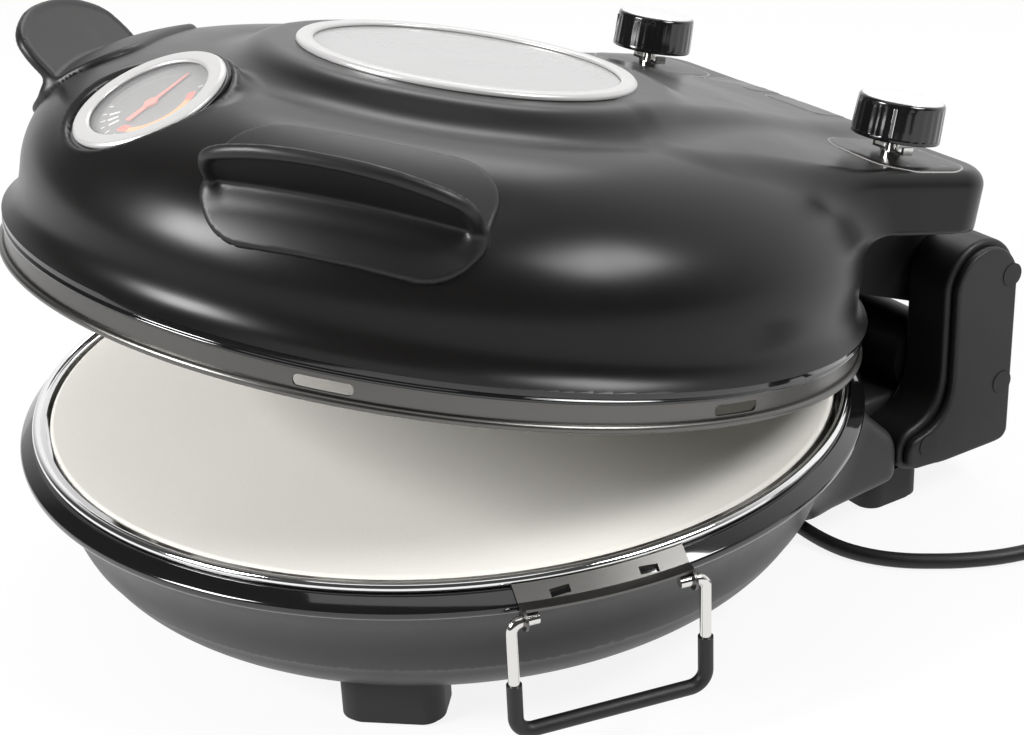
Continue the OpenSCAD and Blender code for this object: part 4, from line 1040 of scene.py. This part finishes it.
class AddControls(bpy.types.Operator):
    """Fit the knobs, dial plates and indicator pads on the deck"""

    bl_idname = "pizza.controls"
    bl_label = "Controls"

    def execute(self, context):
        flutes = context.scene.pizza_sizes.knob_flutes
        for word, side in (("thermostat", 1), ("timer", -1)):
            self.knob(word, side, flutes)
            self.plate(word, side)
        for k, x in enumerate((-38, 4.5)):
            self.pad(k, x)
        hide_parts("dial_plates")
        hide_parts("indicator_lenses")
        return {"FINISHED"}

    def knob(self, word, side, flutes):
        """Fluted body with a pale cap, its mark and its shaft"""
        place, body = knob_place(side), word + "_knob"

        def fluted(angle, radius, height):
            """Shallow flutes round the side"""
            on_side = (radius > 15.5) & (height > 9) & (height < 20.5)
            return FLUTE_DEPTH / 2 * (np.cos(angle * flutes) - 1) * on_side

        shell = [(0, 11.5), (15, 11.5), (15, 7.5), (17.5, 7.5), (17.5, 9.2), (17.45, 12), (17.3, 16),
                 (17.15, 20), (17.0, 22.1), (16.4, 22.9), (0, 22.9)]
        cap = [(0, 22.5), (15.9, 22.5), (15.9, 23.0), (15.2, 23.4), (0, 23.5)]
        shaft = [(0, -9), (3, -9), (3, 12), (0, 12)]
        turned_piece(word + "_knob_body", eased(shell, 0.5), place, body, "knob_black", (word + "_knob",),
                     segments=180, wobble=fluted)
        turned_piece(word + "_knob_cap", eased(cap, 0.4), place, body, "cap_silver", segments=128)
        turned_piece(word + "_shaft", eased(shaft, 0.4), place, body, "spring_wire", segments=40)
        stripe = place @ turn("Z", MARK_ANGLE[word]) @ shift(17.25, 0, 0)
        rings = [np.c_[outline_of(0.6, 1.5, 0.25, 3), np.full(16, z)] for z in (9.6, 20.8)]
        points, faces = stacked(rings)
        add_piece(word + "_knob_mark", points, faces, stripe, body, "knob_silver", smooth=False)

    def plate(self, word, side):
        """Dark pad with a pale band round its edge as a painted edge highlight, and a ring of ticks round a
        knob
        """
        middle = (side * KNOB_X, KNOB_Y + 2)
        # the pale band just outside the dark pad is a painted edge highlight, not print
        pad_on("dial_edge_" + word, outline_of(48, 44, 13.8), middle, 0.22, "pale_print")
        pad_on("dial_pad_" + word, outline_of(46.6, 42.6, 13.1), middle, 0.34, "dial_black")
        ticks = []
        for k in range(13):
            angle = math.radians(30 + 25 * k)
            out = np.array([math.cos(angle), math.sin(angle)])
            across = np.array([-math.sin(angle), math.cos(angle)])
            width, start, end = (0.45, 18.6, 20.6) if k % 3 else (0.7, 18.6, 21.2)
            half = across * width / 2
            corners = [out * start - half, out * end - half, out * end + half, out * start + half]
            ticks += list(on_deck(np.array(corners) * (1, 0.96) + middle, 0.4))
        faces = [tuple(range(4 * k, 4 * k + 4)) for k in range(13)]
        add_piece("dial_ticks_" + word, np.array(ticks), faces, LID, "lid", "pale_print",
                  smooth=False)

    def pad(self, k, x):
        """Flat indicator pad with a fine dark edge"""
        middle = (x, 171)
        pad_on("indicator_edge_%d" % k, outline_of(38, 20, 5.8), middle, 0.06, "rim_black")
        pad_on("indicator_pad_%d" % k, outline_of(37, 19, 5.3), middle, 0.16, "lamp_lens")


class AddGauge(bpy.types.Operator):
    """Print the gauge's scale"""

    bl_idname = "pizza.gauge"
    bl_label = "Gauge face"

    # name, inner and outer radius, start and end angle and finish
    ARCS = (
        ("scale_amber", 14.2, 16.8, -62, 34, "print_amber"),
        ("scale_red_low", 13.0, 16.4, -80, -62, "print_red"),
        ("scale_red_high", 14.0, 17.0, 34, 52, "print_red"),
        ("scale_line", 17.6, 18.0, 118, 205, "pale_print"),
        ("scale_inner_line", 12.8, 13.1, -80, 52, "pale_print"),
    )

    def execute(self, context):
        for arc in self.ARCS:
            self.arc(*arc)
        for k, angle in enumerate(range(-150, 61, 15)):
            inner = 18.0 if k % 2 else 17.4
            self.arc("scale_tick_%02d" % k, inner, 19.4, angle - 0.9, angle + 0.9, "needle_pale")
        for k, angle in enumerate((-104, -118, -132)):
            self.arc("scale_bar_%d" % k, 12.5, 16.5, angle - 2.2, angle + 2.2, "needle_pale")
        return {"FINISHED"}

    def arc(self, name, inner, outer, start, end, paint):
        count = max(2, int(abs(end - start) / 4) + 1)
        angles = np.radians(np.linspace(start, end, count))
        points, faces = [], []
        for r in (inner, outer):
            points += [(r * math.cos(a), r * math.sin(a), DIAL_FACE) for a in angles]
        for i in range(count - 1):
            faces.append((i, count + i, count + i + 1, i + 1))
        add_piece(name, points, faces, GAUGE, "lid", paint, smooth=False)


# finish of each construction node that keeps its own shape
NODE_FINISH = {
    "reflector": ("base_reflector", "lid_reflector"),
    "element": ("lower_element", "upper_element"),
    "stainless": ("lower_element_supports", "bail_bracket_left", "bail_bracket_right", "lid_skirt",
                  "upper_element_clips"),
    "charcoal": ("bottom_cover", "tower_screw_caps", "hinge_cross_member", "lid_neck", "deck_floor_plate"),
    "foot_rubber": ("foot_front_left", "foot_front_right", "foot_rear_left", "foot_rear_right"),
    "spring_wire": ("base_screws", "hinge_pins", "thermal_cutout", "bail_left", "bail_right", "deck_screws",
                    "thermostat", "timer"),
    "gasket": ("hinge_washers", "window_gasket"),
    "ceramic": ("terminal_block",),
    "cord_black": ("bail_sleeve_left", "bail_sleeve_right"),
    "window_glass": ("window_glass",),
    "rim_black": ("gauge_case",),
    "dial_face": ("gauge_dial",),
    "gauge_glass": ("gauge_lens",),
    "needle": ("gauge_needle",),
    "lamp_amber": ("pilot_lamps",),
}


class DressNodes(bpy.types.Operator):
    """Give every kept construction node its material"""

    bl_idname = "pizza.finishes"
    bl_label = "Finishes"

    def execute(self, context):
        for name, nodes in NODE_FINISH.items():
            for slot in (slot for node in nodes for slot in NODES[node].material_slots):
                slot.material = finish(name)
        return {"FINISHED"}


WHITE = (1.0, 1.0, 1.0, 1.0)


class AddStage(bpy.types.Operator):
    """Set the floor, the world and the studio lamps"""

    bl_idname = "pizza.stage"
    bl_label = "Stage"

    # place and target in metres, size in metres and power in watts
    LAMPS = (
        ("lamp_front", (-0.12, -1.30, 0.86), (0.06, -0.1, 0.16), (0.5, 0.5), 27),
        ("lamp_side", (0.87, 0.51, 1.05), (0.15, 0.0, 0.17), (0.6, 0.4), 14),
        ("lamp_rear", (-0.78, 0.62, 1.02), (0.05, 0.0, 0.2), (0.6, 0.4), 3),
        ("lamp_top", (0.10, -0.10, 1.7), (0, 0, 0.08), (1.2, 1.2), 5),
    )
    FLOOR_HALF = 6.0
    FLOOR_GLOW = 0.88  # share of plain white near the object; the rest takes its shadow
    GLOW_START, GLOW_END = 0.7, 1.8  # metres from the middle between which the floor turns all white
    BRIGHT_SIDE = (-0.53, 0.848, 0.0)
    BRIGHT_START, BRIGHT_END = 0.1, 0.7
    DIM, BRIGHT = 0.06, 1.03

    def execute(self, context):
        context.scene.view_settings.view_transform = "Standard"
        self.floor(tuple(context.scene.pizza_colours.floor))
        self.world(context.scene)
        for lamp in self.LAMPS:
            self.lamp(*lamp, context.scene.pizza_sizes.lamp_power)
        return {"FINISHED"}

    def floor(self, tone):
        """Pale floor that is white to the camera and keeps the object's shadow"""
        mesh = bpy.data.meshes.new("floor")
        half = self.FLOOR_HALF
        corners = [(-half, -half, 0), (half, -half, 0), (half, half, 0), (-half, half, 0)]
        mesh.from_pydata(corners, [], [(0, 1, 2, 3)])
        def glowing(paint, body):
            """White for what the camera and the mirrors see, with the object's shadow kept"""
            glow = paint.add("Emission", None, {"Color": WHITE, "Strength": 1.0})
            away = paint.add("VectorMath", {"operation": "LENGTH"}, {0: paint.coords()}, "Value")
            share = away.step(self.GLOW_START, self.GLOW_END) * (1 - self.FLOOR_GLOW) + self.FLOOR_GLOW
            return paint.add("MixShader", None, {0: paint.seen() * share, 1: body, 2: glow})

        paint = Paint("floor_white", glowing, roughness=0.9, metallic=0.0, base_color=tone + (1.0,))
        mesh.materials.append(paint.material)
        linked("floor", mesh)

    def world(self, scene):
        """A pale room that is brighter behind the appliance's left side"""
        world = bpy.data.worlds.new("studio")
        room = Nodes(world)
        facing = room.add("TexCoord", output="Generated")
        values = {0: facing, 1: self.BRIGHT_SIDE}
        bright = room.add("VectorMath", {"operation": "DOT_PRODUCT"}, values, "Value")
        level = bright.step(self.BRIGHT_START, self.BRIGHT_END) * (self.BRIGHT - self.DIM) + self.DIM
        camera = room.add("LightPath", output="Is Camera Ray")
        strength = camera.math("MAXIMUM", camera, level)
        light = room.add("Background", None, {"Color": WHITE, "Strength": strength})
        room.add("OutputWorld", None, {"Surface": light})
        scene.world = world

    def lamp(self, name, place, target, size, watts, share):
        """Square or oblong soft lamp turned toward its target"""
        data = bpy.data.lights.new(name, "AREA")
        data.shape, data.energy = "RECTANGLE", watts * share
        data.size, data.size_y = size
        obj = linked(name, data)
        obj.location = place
        obj.rotation_euler = (Vector(target) - Vector(place)).to_track_quat("-Z", "Y").to_euler()


STEPS = (AddCamera, AddCord, AddLid, AddBowl, AddTowers, AddHandles, AddRims, AddControls,
         AddGauge, DressNodes, AddStage)


class PizzaPanel(bpy.types.Panel):
    """Lists the sizes, the colours and the building steps"""

    bl_idname = "VIEW3D_PT_pizza_maker"
    bl_label = "Pizza maker"
    bl_space_type = "VIEW_3D"
    bl_region_type = "UI"
    bl_category = "Pizza maker"

    def draw(self, context):
        for group in (context.scene.pizza_sizes, context.scene.pizza_colours):
            box = self.layout.box()
            for name in group.__annotations__:
                box.prop(group, name)
        for step in STEPS:
            self.layout.operator(step.bl_idname)


CLASSES = (PizzaSizes, PizzaColours) + STEPS + (PizzaPanel,)


def register():
    for each in CLASSES:
        bpy.utils.register_class(each)
    bpy.types.Scene.pizza_sizes = bpy.props.PointerProperty(type=PizzaSizes)
    bpy.types.Scene.pizza_colours = bpy.props.PointerProperty(type=PizzaColours)


def unregister():
    del bpy.types.Scene.pizza_sizes, bpy.types.Scene.pizza_colours
    for each in reversed(CLASSES):
        bpy.utils.unregister_class(each)


def main():
    register()
    for step in STEPS:
        group, name = step.bl_idname.split(".")
        getattr(getattr(bpy.ops, group), name)()


if __name__ == "__main__":
    main()
